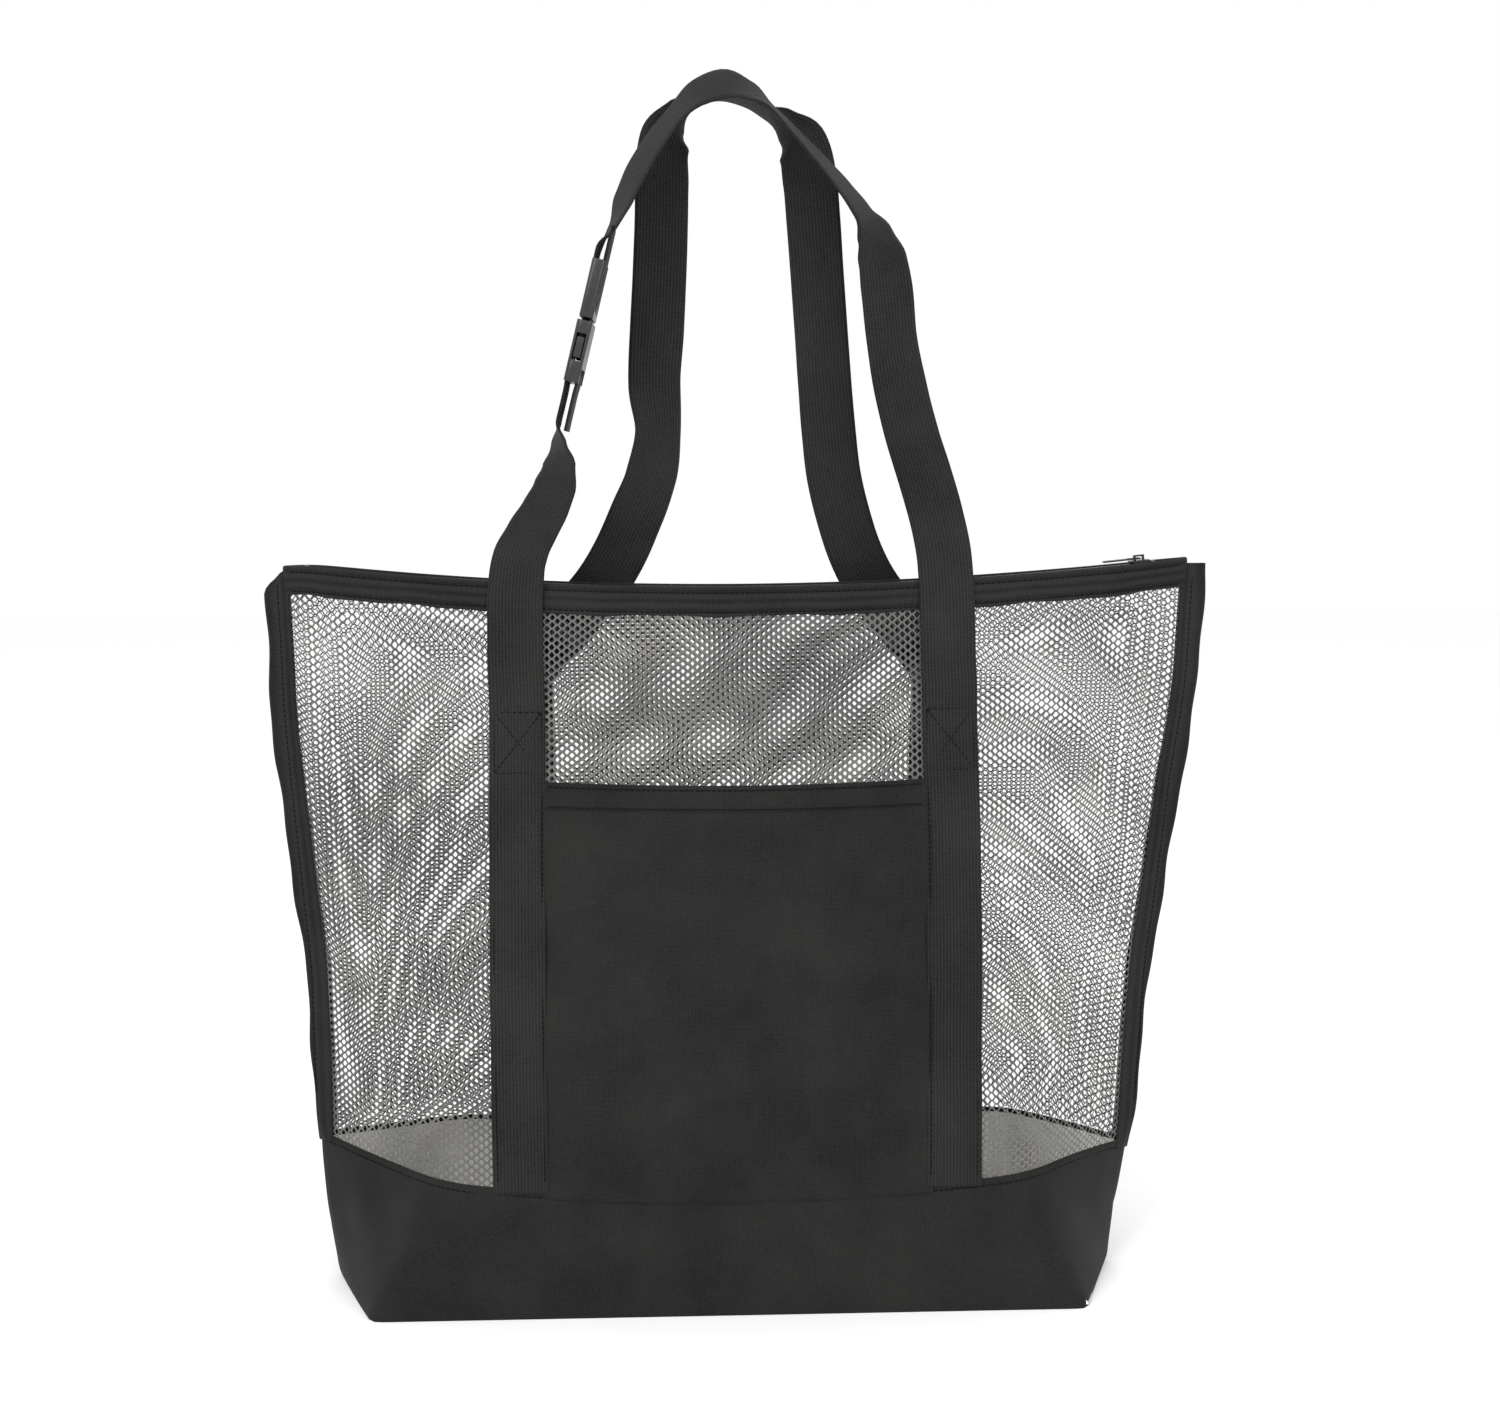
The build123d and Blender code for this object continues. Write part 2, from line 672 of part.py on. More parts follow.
def leg_station(height):
    """Station on the outer leg of a wrap, at a height along the buckle."""
    point = buckle.from_local_coords((0, BAR_THICK / 2 + WRAP_CLEAR + WEB_THICK / 2, height))
    return (*point, (0, 1, 0))


# Lower strap of the front handle: left arm from the bag to the socket's bar, folded back on itself
with BuildPart() as front_handle_lower_strap:
    add(webbing([*FRONT_LEFT_ARM, leg_station(LOWER_LEG_END)], -1))
    add(webbing_wrap(SOCKET_TURN, LOWER_LEG_END, LOWER_TAIL_END))
save("front_handle_lower_strap", front_handle_lower_strap.part)

# Upper strap of the front handle: right arm, over the top and down round the plug's bar
with BuildPart() as front_handle_upper_strap:
    add(webbing([*FRONT_RIGHT_ARM, leg_station(UPPER_LEG_END)], -1))
    add(webbing_wrap(PLUG_TURN, UPPER_LEG_END, UPPER_TAIL_END))
save("front_handle_upper_strap", front_handle_upper_strap.part)

# Back handle: one length of webbing
save("back_handle_strap", webbing(BACK_ARMS, 1))
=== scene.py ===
"""Looks of the beach bag: mesh panels, fabric base and pocket, webbing, tapes, zip and buckle.

Metres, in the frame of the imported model. The soft pieces are built from the same few
dimensions as the model and replace its plain solids; the hard pieces get rounded edges.
"""

from math import cos, pi, radians, sin

import bmesh
import bpy
import numpy as np
from mathutils import Matrix, Vector


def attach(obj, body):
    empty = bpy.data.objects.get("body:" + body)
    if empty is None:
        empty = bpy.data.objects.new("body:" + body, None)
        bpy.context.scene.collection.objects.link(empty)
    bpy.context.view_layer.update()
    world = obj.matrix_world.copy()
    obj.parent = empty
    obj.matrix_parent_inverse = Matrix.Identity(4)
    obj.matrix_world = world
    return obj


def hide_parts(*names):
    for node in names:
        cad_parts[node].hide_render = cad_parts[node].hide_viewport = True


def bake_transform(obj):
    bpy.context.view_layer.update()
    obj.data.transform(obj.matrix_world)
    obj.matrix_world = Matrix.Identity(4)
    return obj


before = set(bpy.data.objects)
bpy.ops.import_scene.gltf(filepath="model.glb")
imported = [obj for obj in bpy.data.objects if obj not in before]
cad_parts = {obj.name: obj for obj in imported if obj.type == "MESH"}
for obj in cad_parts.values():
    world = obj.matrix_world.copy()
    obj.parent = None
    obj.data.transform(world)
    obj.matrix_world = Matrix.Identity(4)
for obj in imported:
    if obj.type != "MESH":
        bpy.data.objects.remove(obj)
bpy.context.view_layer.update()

# Outline of the body: height, seam half width, half width of the flat front, half depth
OUTLINE = np.array(
    [
        (0.000, 0.250, 0.224, 0.075),
        (0.044, 0.261, 0.202, 0.071),
        (0.086, 0.265, 0.182, 0.066),
        (0.208, 0.2685, 0.165, 0.060),
        (0.308, 0.279, 0.160, 0.044),
        (0.384, 0.287, 0.165, 0.026),
        (0.478, 0.290, 0.275, 0.0095),
    ]
)
# How far the two ends of the bag sag sideways: height, left end, right end
LEAN = np.array(
    [
        (0.00, -0.0120, -0.0020),
        (0.04, -0.0080, -0.0075),
        (0.10, -0.0065, -0.0035),
        (0.25, -0.0025, 0.0000),
        (0.33, 0.0000, 0.0000),
        (0.40, 0.0030, 0.0030),
        (0.48, 0.0035, 0.0040),
    ]
)
HEM_MIDDLE = 0.455
HEM_RADIUS = 2.557
HEM_BAND = 0.018
CORNER_SLUMP = 0.003
SLUMP_START = 0.262
SLUMP_LONG = 0.030
CHAIN_DROP = 0.0015
BASE_MIDDLE = 0.075
BASE_RADIUS = 1.571
BASE_END = 0.265
RIGHT_DROOP = 0.014
DROOP_START = 0.165
DROOP_LONG = 0.100

STRAP_X = 0.136
WEB_WIDE = 0.035
WEB_THICK = 0.0019
WEB_LIFT = 0.0028
WEB_STEP = 0.0028
WEB_COLUMNS = 15
SEWN_TOP = 0.383
BOX_LOW = 0.339
POCKET_TOP = 0.335

# Side tapes: how far the fold stands out from the seam, low down and from mid height up
TAPE_LOW_WIDE = 0.0028
TAPE_WIDE = 0.0116
TAPE_TOP = 0.4680

# Mesh: pitch of the holes along a row, distance between rows, open share of each cell's width,
# how much less is open in the window and low at each side, and the slant of the back's knit
HOLE_PITCH = 0.00633
ROW_PITCH = 0.0024
HOLE_OPEN = 0.795
WINDOW_CLOSED = 0.23
LEFT_CLOSED = 0.13
RIGHT_CLOSED = 0.03
BACK_SKEW = 0.030
ROW_SKEW = 0.055
RIDGE = 0.00028
WELD = 2e-5
NET_TOP = 0.476

# Buckle: a point on its axis, the lean of the axis and the strap bars along it
BUCKLE_BASE = Vector((-0.0996, -0.012, 0.583))
BUCKLE_LEAN = radians(14)
LEG_OUT = 0.003
SOCKET_TURN = 0.004
PLUG_TURN = 0.055

# Stations of the free webbing: centre line point, then the direction of its width; a point has
# no depth where the webbing still lies on the bag
FRONT_RIGHT_ARM = [
    (0.1355, None, 0.403, (1, 0, 0)),
    (0.1355, None, 0.428, (1, 0, 0)),
    (0.1350, -0.0160, 0.458, (1, 0, 0)),
    (0.1335, -0.0145, 0.476, (1, 0.02, 0)),
    (0.1288, -0.0130, 0.499, (1, 0.08, 0)),
    (0.1215, -0.0130, 0.524, (1, 0.1, 0)),
    (0.1135, -0.0125, 0.549, (1, 0.15, 0)),
    (0.1070, -0.0120, 0.574, (1, 0.2, 0)),
    (0.1000, -0.0120, 0.611, (1, 0.35, 0)),
    (0.0970, -0.0120, 0.640, (1, 0.3, 0)),
    (0.0940, -0.0120, 0.659, (1, 0.45, 0.15)),
    (0.0895, -0.0120, 0.673, (1, 1, 0.4)),
    (0.0815, -0.0130, 0.687, (0.4, 1, 0.3)),
    (0.0700, -0.0140, 0.702, (0.3, 1, 0.3)),
    (0.0550, -0.0140, 0.719, (0.25, 1, 0.25)),
    (0.0400, -0.0140, 0.735, (0.15, 1, 0.25)),
    (0.0250, -0.0140, 0.750, (0, 1, 0.3)),
    (0.0110, -0.0140, 0.760, (0, 1, 0.6)),
    (-0.0040, -0.0140, 0.764, (0, 1, 0.85)),
    (-0.0190, -0.0140, 0.759, (0, 1, 0.85)),
    (-0.0330, -0.0140, 0.747, (0, 1, 0.7)),
    (-0.0460, -0.0140, 0.731, (-0.3, 1, 0.45)),
    (-0.0570, -0.0140, 0.714, (-0.4, 1, 0.35)),
    (-0.0660, -0.0135, 0.696, (-0.4, 1, 0.2)),
    (-0.0735, -0.0125, 0.678, (-0.2, 1, 0.07)),
]
FRONT_LEFT_ARM = [
    (-0.1370, None, 0.403, (-1, 0, 0)),
    (-0.1375, None, 0.428, (-1, 0, 0)),
    (-0.1370, -0.0168, 0.458, (-1, 0.05, 0)),
    (-0.1345, -0.0156, 0.474, (-1, 0.2, 0)),
    (-0.1280, -0.0140, 0.488, (-1, 0.4, 0)),
    (-0.1190, -0.0135, 0.503, (-1, 0.55, 0)),
    (-0.1120, -0.0130, 0.518, (-1, 0.75, 0)),
    (-0.1090, -0.0125, 0.532, (-0.8, 1, 0)),
    (-0.1090, -0.0120, 0.545, (-0.35, 1, 0)),
]
BACK_ARMS = [
    (0.1345, None, 0.396, (1, 0, 0)),
    (0.1315, None, 0.403, (1, 0, 0)),
    (0.1190, None, 0.419, (1, 0, 0)),
    (0.1030, None, 0.438, (1, 0, 0)),
    (0.0890, 0.0162, 0.457, (1, 0, 0)),
    (0.0800, 0.0150, 0.475, (1, -0.03, 0)),
    (0.0720, 0.0145, 0.499, (1, -0.06, 0)),
    (0.0660, 0.0145, 0.524, (1, -0.1, 0)),
    (0.0625, 0.0145, 0.553, (1, -0.2, 0)),
    (0.0600, 0.0145, 0.583, (1, -0.3, 0)),
    (0.0575, 0.0145, 0.618, (1, -0.35, 0)),
    (0.0550, 0.0145, 0.653, (1, -0.35, 0)),
    (0.0525, 0.0145, 0.688, (1, -0.3, 0)),
    (0.0505, 0.0145, 0.710, (1, -0.3, 0)),
    (0.0460, 0.0165, 0.731, (1, -0.5, 0)),
    (0.0360, 0.0200, 0.744, (0.6, -1, 0)),
    (0.0240, 0.0225, 0.753, (0.1, -1, 0)),
    (0.0110, 0.0225, 0.760, (0, -1, 0)),
    (-0.0080, 0.0225, 0.764, (0, -1, 0)),
    (-0.0230, 0.0225, 0.759, (-0.1, -1, 0)),
    (-0.0340, 0.0200, 0.749, (-0.6, -1, 0)),
    (-0.0410, 0.0165, 0.734, (-1, -0.5, 0)),
    (-0.0430, 0.0145, 0.708, (-1, -0.3, 0)),
    (-0.0435, 0.0145, 0.688, (-1, -0.3, 0)),
    (-0.0450, 0.0145, 0.653, (-1, -0.25, 0)),
    (-0.0470, 0.0145, 0.618, (-1, -0.2, 0)),
    (-0.0490, 0.0145, 0.583, (-1, -0.35, 0)),
    (-0.0470, 0.0145, 0.553, (-1, -0.7, 0)),
    (-0.0520, 0.0145, 0.524, (-1, -0.4, 0)),
    (-0.0620, 0.0145, 0.499, (-1, -0.15, 0)),
    (-0.0730, 0.0150, 0.475, (-1, -0.03, 0)),
    (-0.0840, 0.0162, 0.457, (-1, 0, 0)),
    (-0.1000, None, 0.438, (-1, 0, 0)),
    (-0.1170, None, 0.419, (-1, 0, 0)),
    (-0.1305, None, 0.403, (-1, 0, 0)),
    (-0.1340, None, 0.396, (-1, 0, 0)),
]


# ---------------------------------------------------------------- shape of the body

FINE_Z = np.linspace(-0.02, 0.50, 521)
SMOOTH_REACH = 24
SMOOTH_SPREAD = 8.0

# Heights of the three waves of wrinkles in a panel, and their shift on the back panel
FOLD_ARCH = 0.0013
FOLD_SLANT = 0.0010
FOLD_BROAD = 0.0026
BACK_SHIFT = 1.7

# Rounds in which a point's height and its cloth distance settle on each other, and the height
# from which the lines along the hem start
ROUNDS = 3
HEM_START = 0.45


def smooth_column(column):
    """One column of the outline on a fine height scale, its corners rounded."""
    values = np.interp(FINE_Z, OUTLINE[:, 0], OUTLINE[:, column])
    reach = np.arange(-SMOOTH_REACH, SMOOTH_REACH + 1)
    weights = np.exp(-0.5 * (reach / SMOOTH_SPREAD) ** 2)
    padded = np.pad(values, SMOOTH_REACH, mode="edge")
    return np.convolve(padded, weights / weights.sum(), mode="valid")


SEAM, FLAT, DEPTH = (smooth_column(column) for column in (1, 2, 3))


def seam_half(z):
    return np.interp(z, FINE_Z, SEAM)


def hem_z(x, drop=0.0):
    return HEM_MIDDLE + HEM_RADIUS - np.sqrt((HEM_RADIUS + drop) ** 2 - np.square(x))


def hem_edge(x):
    """The hem's arc on the cloth, with the left corner slumped a little."""
    slump = CORNER_SLUMP * np.clip((-np.asarray(x) - SLUMP_START) / SLUMP_LONG, 0, 1) ** 2
    return hem_z(x) - slump


def base_z(x):
    """The base seam's arc, with its right end drooping a little."""
    droop = RIGHT_DROOP * np.clip((np.asarray(x) - DROOP_START) / DROOP_LONG, 0, 1) ** 2
    return BASE_MIDDLE + BASE_RADIUS - np.sqrt(BASE_RADIUS**2 - np.square(x)) - droop


def corner(z):
    """Flat half width, depth, side length, turn angle and rounding of the section at z."""
    seam, flat, depth = (np.interp(z, FINE_Z, c) for c in (SEAM, FLAT, DEPTH))
    side = np.hypot(seam - flat, depth)
    turn = np.arctan2(depth, seam - flat)
    ease = np.clip((z - 0.05) / 0.12, 0, 1)
    cut = np.minimum(side * (0.05 + 0.07 * np.clip(z / 0.04, 0, 1) + 0.33 * ease), 0.03)
    radius = cut / np.tan(turn / 2)
    return flat, depth, side, turn, cut, radius


def half_length(z):
    """Length of cloth from the middle of a panel to its side seam at a height."""
    flat, _, side, turn, cut, radius = corner(z)
    return flat - cut + radius * turn + side - cut


def section(s, z):
    """Point of the front section at cloth distance s from the middle: x, depth, normal."""
    flat, depth, _, turn, cut, radius = corner(z)
    run = np.abs(s)
    first = flat - cut
    second = first + radius * turn
    angle = np.clip((run - first) / radius, 0, turn)
    beyond = np.maximum(run - second, 0)
    x = np.minimum(run, first) + radius * np.sin(angle) + beyond * np.cos(turn)
    y = depth - radius * (1 - np.cos(angle)) - beyond * np.sin(turn)
    side_of = np.sign(s)
    return x * side_of, y, np.sin(angle) * side_of, np.cos(angle)


def folds(s, z, shift):
    """Soft wrinkles of a panel, in metres along the normal, none at its sewn edges."""
    arch = np.sin(46 * (z + 0.9 * np.abs(s) ** 1.5) + shift)
    slant = np.sin(61 * z - 38 * np.abs(s) + 2.1 * shift)
    broad = np.sin(17 * s + 9 * z + shift) * np.cos(13 * z - 6 * s + shift)
    middle = np.clip((z - 0.08) / 0.08, 0, 1) * np.clip((hem_z(s) - z) / 0.06, 0, 1)
    edge = np.clip((half_length(z) - np.abs(s)) / 0.05, 0, 1)
    return (FOLD_ARCH * arch + FOLD_SLANT * slant + FOLD_BROAD * broad) * middle * edge


def lean(x, z):
    """Sideways sag of the body at a point, none in the middle and most at the two ends."""
    left = np.interp(z, LEAN[:, 0], LEAN[:, 1])
    right = np.interp(z, LEAN[:, 0], LEAN[:, 2])
    reach = np.clip((np.abs(x) - 0.16) / 0.09, 0, 1)
    return np.where(np.asarray(x) < 0, left, right) * reach * reach * (3 - 2 * reach)


def body_point(s, z, side, out=0.0):
    """Point on the front (side -1) or back (side 1) of the bag, moved out along the normal."""
    s, z = np.broadcast_arrays(np.asarray(s, float), np.asarray(z, float))
    x, y, nx, ny = section(s, z)
    lift = out + folds(s, z, 0.0 if side < 0 else BACK_SHIFT)
    return np.stack([x + lean(x, z) + nx * lift, side * (y + ny * lift), z], axis=-1)


# ---------------------------------------------------------------- mesh building


def build(name, verts, faces, uv=None, smooth=True):
    """Mesh object from arrays: one row per vertex, faces of one size, and a UV per vertex."""
    verts = np.asarray(verts, np.float32).reshape(-1, 3)
    faces = np.asarray(faces, np.int32)
    count, size = faces.shape
    mesh = bpy.data.meshes.new(name)
    mesh.vertices.add(len(verts))
    mesh.vertices.foreach_set("co", verts.ravel())
    mesh.loops.add(count * size)
    mesh.loops.foreach_set("vertex_index", faces.ravel())
    mesh.polygons.add(count)
    mesh.polygons.foreach_set("loop_start", np.arange(count, dtype=np.int32) * size)
    mesh.polygons.foreach_set("loop_total", np.full(count, size, np.int32))
    mesh.polygons.foreach_set("use_smooth", np.full(count, smooth))
    if uv is not None:
        layer = mesh.uv_layers.new(name="UVMap")
        layer.data.foreach_set("uv", np.asarray(uv, np.float32)[faces.ravel()].ravel())
    mesh.update(calc_edges=True)
    mesh.validate()
    piece = bpy.data.objects.new(name, mesh)
    bpy.context.scene.collection.objects.link(piece)
    return piece


def grid(rows, columns, around=False):
    """Quads of a grid of points; around joins the last column to the first."""
    index = np.arange(rows * columns).reshape(rows, columns)
    if around:
        index = np.concatenate([index, index[:, :1]], axis=1)
    corners = (index[:-1, :-1], index[:-1, 1:], index[1:, 1:], index[1:, :-1])
    return np.stack(corners, axis=-1).reshape(-1, 4)


def grid_piece(name, points, uv, around=False):
    rows, columns = points.shape[:2]
    return build(name, points.reshape(-1, 3), grid(rows, columns, around), uv.reshape(-1, 2))


def close_ends(piece, ring, starts):
    """Face over each open end of a tube; a ring's vertices follow its start in order."""
    shape = bmesh.new()
    shape.from_mesh(piece.data)
    shape.verts.ensure_lookup_table()
    for start in starts:
        bmesh.ops.contextual_create(shape, geom=[shape.verts[start + i] for i in range(ring)])
    bmesh.ops.recalc_face_normals(shape, faces=shape.faces)
    shape.to_mesh(piece.data)
    shape.free()


def thicken(piece, thickness, offset=0.0):
    solid = piece.modifiers.new("thickness", "SOLIDIFY")
    solid.thickness = thickness
    solid.offset = offset
    return piece


def finish_piece(piece, body, nodes, look):
    """Gives a piece its material, its body and the nodes that it stands for."""
    piece.data.materials.append(look)
    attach(piece, body)
    if nodes:
        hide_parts(*nodes)


# ---------------------------------------------------------------- materials

# Cloth: sizes of its noises in turns per metre, the share each has in the tone, the share of
# the fuzz in the relief, roughness
FUZZ_SCALE = 900
CLOUD_SCALE = 14
YARN_SHARE = 0.35
CLOUD_SHARE = 0.45
FUZZ_SHARE = 0.3
FUZZ_RELIEF = 0.35
CLOTH_ROUGH = (0.7, 0.9)
NOISE_ROUGH = 0.6


def new_material(name, rough, metallic=0.0, sheen=0.0, specular=0.4):
    look = bpy.data.materials.new(name)
    look.use_nodes = True
    shader = look.node_tree.nodes["Principled BSDF"]
    shader.inputs["Roughness"].default_value = rough
    shader.inputs["Metallic"].default_value = metallic
    shader.inputs["Sheen Weight"].default_value = sheen
    shader.inputs["Specular IOR Level"].default_value = specular
    return look, look.node_tree, shader


def math_node(tree, operation, first, second=None):
    node = tree.nodes.new("ShaderNodeMath")
    node.operation = operation
    for socket, value in zip(node.inputs, (first, second)):
        if value is None:
            continue
        if isinstance(value, (int, float)):
            socket.default_value = value
        else:
            tree.links.new(value, socket)
    return node.outputs[0]


def noise(tree, source, scale, detail):
    node = tree.nodes.new("ShaderNodeTexNoise")
    node.inputs["Scale"].default_value = scale
    node.inputs["Detail"].default_value = detail
    node.inputs["Roughness"].default_value = NOISE_ROUGH
    tree.links.new(source, node.inputs["Vector"])
    return node.outputs["Fac"]


def ribs(tree, vector, axis, period):
    """Sine ribs across one axis of the piece's own metric map, 0 to 1."""
    split = tree.nodes.new("ShaderNodeSeparateXYZ")
    tree.links.new(vector, split.inputs[0])
    turns = math_node(tree, "MULTIPLY", split.outputs[axis], 2 * pi / period)
    wave = math_node(tree, "SINE", turns)
    return math_node(tree, "MULTIPLY_ADD", wave, 0.5)


def tint(tree, shader, factor, dark, light):
    ramp = tree.nodes.new("ShaderNodeValToRGB")
    ramp.color_ramp.elements[0].position = 0.3
    ramp.color_ramp.elements[1].position = 0.68
    ramp.color_ramp.elements[0].color = (*dark, 1)
    ramp.color_ramp.elements[1].color = (*light, 1)
    tree.links.new(factor, ramp.inputs[0])
    tree.links.new(ramp.outputs[0], shader.inputs["Base Color"])


def bump(tree, shader, height, distance):
    node = tree.nodes.new("ShaderNodeBump")
    node.inputs["Strength"].default_value = 1.0
    node.inputs["Distance"].default_value = distance
    tree.links.new(height, node.inputs["Height"])
    tree.links.new(node.outputs[0], shader.inputs["Normal"])


def roughness(tree, shader, factor, low, high):
    spread = tree.nodes.new("ShaderNodeMapRange")
    spread.inputs["To Min"].default_value = low
    spread.inputs["To Max"].default_value = high
    tree.links.new(factor, spread.inputs["Value"])
    tree.links.new(spread.outputs[0], shader.inputs["Roughness"])


def woven(name, dark, light, warp, weft, depth, sheen):
    """Cloth with crossing yarns: warp and weft are the yarn pitches in metres."""
    look, tree, shader = new_material(name, CLOTH_ROUGH[0], sheen=sheen, specular=0.14)
    shader.inputs["Sheen Roughness"].default_value = 0.5
    where = tree.nodes.new("ShaderNodeTexCoord")
    across = ribs(tree, where.outputs["UV"], "X", warp)
    along = ribs(tree, where.outputs["UV"], "Y", weft)
    yarns = math_node(tree, "MULTIPLY", across, along)
    fuzz = noise(tree, where.outputs["Object"], FUZZ_SCALE, 2)
    cloud = noise(tree, where.outputs["Object"], CLOUD_SCALE, 4)
    body = math_node(tree, "MULTIPLY_ADD", yarns, YARN_SHARE)
    tree.links.new(math_node(tree, "MULTIPLY", cloud, CLOUD_SHARE), body.node.inputs[2])
    grain = math_node(tree, "MULTIPLY_ADD", fuzz, FUZZ_SHARE)
    tree.links.new(body, grain.node.inputs[2])
    tint(tree, shader, grain, dark, light)
    roughness(tree, shader, cloud, *CLOTH_ROUGH)
    height = math_node(tree, "MULTIPLY_ADD", fuzz, FUZZ_RELIEF)
    tree.links.new(yarns, height.node.inputs[2])
    bump(tree, shader, height, depth)
    return look


def plastic(name, colour, rough, metallic=0.0):
    """Moulded or painted surface with fine grain, faint mottling and soft wear."""
    look, tree, shader = new_material(name, rough, metallic, specular=0.5)
    where = tree.nodes.new("ShaderNodeTexCoord").outputs["Object"]
    grain = noise(tree, where, 2600, 2)
    cloud = noise(tree, where, 120, 4)
    lighter = tuple(min(1.0, 1.7 * value + 0.004) for value in colour)
    tint(tree, shader, cloud, colour, lighter)
    roughness(tree, shader, cloud, rough - 0.1, rough + 0.12)
    bump(tree, shader, grain, 0.00004)
    return look


def mesh_look():
    """Dark coated filament with a soft gloss, a little dust on it."""
    look, tree, shader = new_material("mesh_filament", 0.42, sheen=0.1, specular=0.5)
    where = tree.nodes.new("ShaderNodeTexCoord").outputs["Object"]
    cloud = noise(tree, where, 18, 4)
    grain = noise(tree, where, 2200, 2)
    tint(tree, shader, cloud, (0.044, 0.043, 0.042), (0.122, 0.117, 0.110))
    roughness(tree, shader, grain, 0.32, 0.6)
    bump(tree, shader, grain, 0.00005)
    return look


# Each cloth: dark tone, light tone, warp pitch, weft pitch, relief, sheen
FABRIC = woven(
    "base_fabric", (0.003, 0.003, 0.0029), (0.0245, 0.0245, 0.0232), 0.0009, 0.0008, 0.00014, 0.03
)
WEBBING = woven(
    "webbing", (0.0035, 0.0035, 0.0034), (0.027, 0.027, 0.0258), 0.0021, 0.0013, 0.00024, 0.04
)
TAPE = woven(
    "binding_tape", (0.004, 0.004, 0.0043), (0.022, 0.022, 0.0225), 0.0060, 0.0011, 0.00016, 0.04
)
# Stitch thread: black, set darker than the webbing as painted shade for the sunk stitch lines
THREAD_WITH_PAINTED_SHADE = woven(
    "thread", (0.0010, 0.0010, 0.0010), (0.0030, 0.0030, 0.0030), 0.0006, 0.0006, 0.0001, 0.0
)
LINING = woven(
    "coated_lining", (0.78, 0.77, 0.73), (0.95, 0.94, 0.91), 0.0012, 0.0012, 0.00008, 0.05
)
MESH = mesh_look()
PLASTIC = plastic("moulded_plastic", (0.006, 0.006, 0.0065), 0.36)
TEETH = plastic("zip_coil", (0.018, 0.018, 0.019), 0.35)
METAL = plastic("painted_metal", (0.022, 0.022, 0.023), 0.3, 0.6)
BOARD = plastic("board", (0.55, 0.54, 0.51), 0.6)


# ---------------------------------------------------------------- mesh panels


def hole_share(s, z):
    """How much of a cell stays open: it closes in the window, low at the sides and in streaks."""
    window = np.exp(-((s / 0.115) ** 4)) * np.clip((z - 0.30) / 0.03, 0, 1)
    low = np.clip((0.41 - z) / 0.09, 0, 1) * np.clip((np.abs(s) - 0.10) / 0.05, 0, 1)
    closed = np.where(s < 0, LEFT_CLOSED, RIGHT_CLOSED) * low
    streaks = np.sin(52 * (z + 0.9 * np.abs(s) ** 1.5) + 3 * np.sin(9 * s + 14 * z))
    return HOLE_OPEN - WINDOW_CLOSED * window - closed + 0.03 * streaks


def net_point(s, z, side, out):
    """Point of the knit, whose rows and columns lean a little, more so on the back panel."""
    inside = np.clip((half_length(z) - np.abs(s)) / 0.04, 0, 1)
    inside *= np.clip((hem_z(s) - z) / 0.04, 0, 1) * np.clip((z - BASE_MIDDLE) / 0.04, 0, 1)
    share = inside if side > 0 else -0.3 * inside
    bend = BACK_SKEW * (z - 0.27) + 0.0022 * np.sin(26 * z + 5 * s)
    return body_point(s + share * bend, z + share * ROW_SKEW * s, side, out)


def net(name, side):
    """Knitted mesh: long hexagon holes in staggered rows, each strand raised to a ridge."""
    low = BASE_MIDDLE - 0.004
    rows = np.arange(int((NET_TOP - low) / ROW_PITCH))
    columns = np.arange(-48, 49)
    row, column = np.meshgrid(rows, columns, indexing="ij")
    centre_s = (column + 0.5 * (row % 2)) * HOLE_PITCH
    centre_z = low + row * ROW_PITCH
    x = section(centre_s, centre_z)[0]
    keep = np.abs(centre_s) < half_length(centre_z) - 0.0025
    keep &= centre_z > base_z(x) - 0.0015
    keep &= centre_z < hem_edge(x) - 0.004
    centre_s, centre_z = centre_s[keep], centre_z[keep]
    tip = (HOLE_PITCH**2 / 4 + ROW_PITCH**2) / HOLE_PITCH
    top_half = abs(HOLE_PITCH - 2 * tip) / 2
    edge = [(tip, 0), (top_half, ROW_PITCH), (-top_half, ROW_PITCH)]
    edge += [(-tip, 0), (-top_half, -ROW_PITCH), (top_half, -ROW_PITCH)]
    edge = np.array(edge)
    nodes_s = centre_s[:, None] + edge[:, 0]
    nodes_z = centre_z[:, None] + edge[:, 1]
    hole = hole_share(centre_s, centre_z)[:, None]
    hole_s = centre_s[:, None] + edge[:, 0] * hole
    hole_z = centre_z[:, None] + edge[:, 1] * hole
    key = np.stack([nodes_s.ravel(), nodes_z.ravel()], axis=1)
    rounded = np.round(key / WELD).astype(np.int64)
    _, first, back = np.unique(rounded, axis=0, return_index=True, return_inverse=True)
    back = back.reshape(-1, 6)
    shared = key[first]
    ridge_points = net_point(*shared.T, side, RIDGE)
    hole_points = net_point(hole_s.ravel(), hole_z.ravel(), side, 0.0)
    verts = np.concatenate([ridge_points, hole_points])
    hole_index = len(shared) + np.arange(hole_s.size).reshape(-1, 6)
    after = [1, 2, 3, 4, 5, 0]
    quads = np.stack([back, back[:, after], hole_index[:, after], hole_index], axis=-1)
    quads = quads.reshape(-1, 4)
    if side > 0:
        quads = quads[:, ::-1]
    uv = np.concatenate([shared, np.stack([hole_s.ravel(), hole_z.ravel()], axis=1)])
    return build(name, verts, quads, uv)


for name, node, side in (
    ("front_mesh", "front_mesh_panel", -1),
    ("back_mesh", "back_mesh_panel", 1),
):
    panel = net(name, side)
    finish_piece(panel, "bag", (node,), MESH)


# ---------------------------------------------------------------- base and pocket

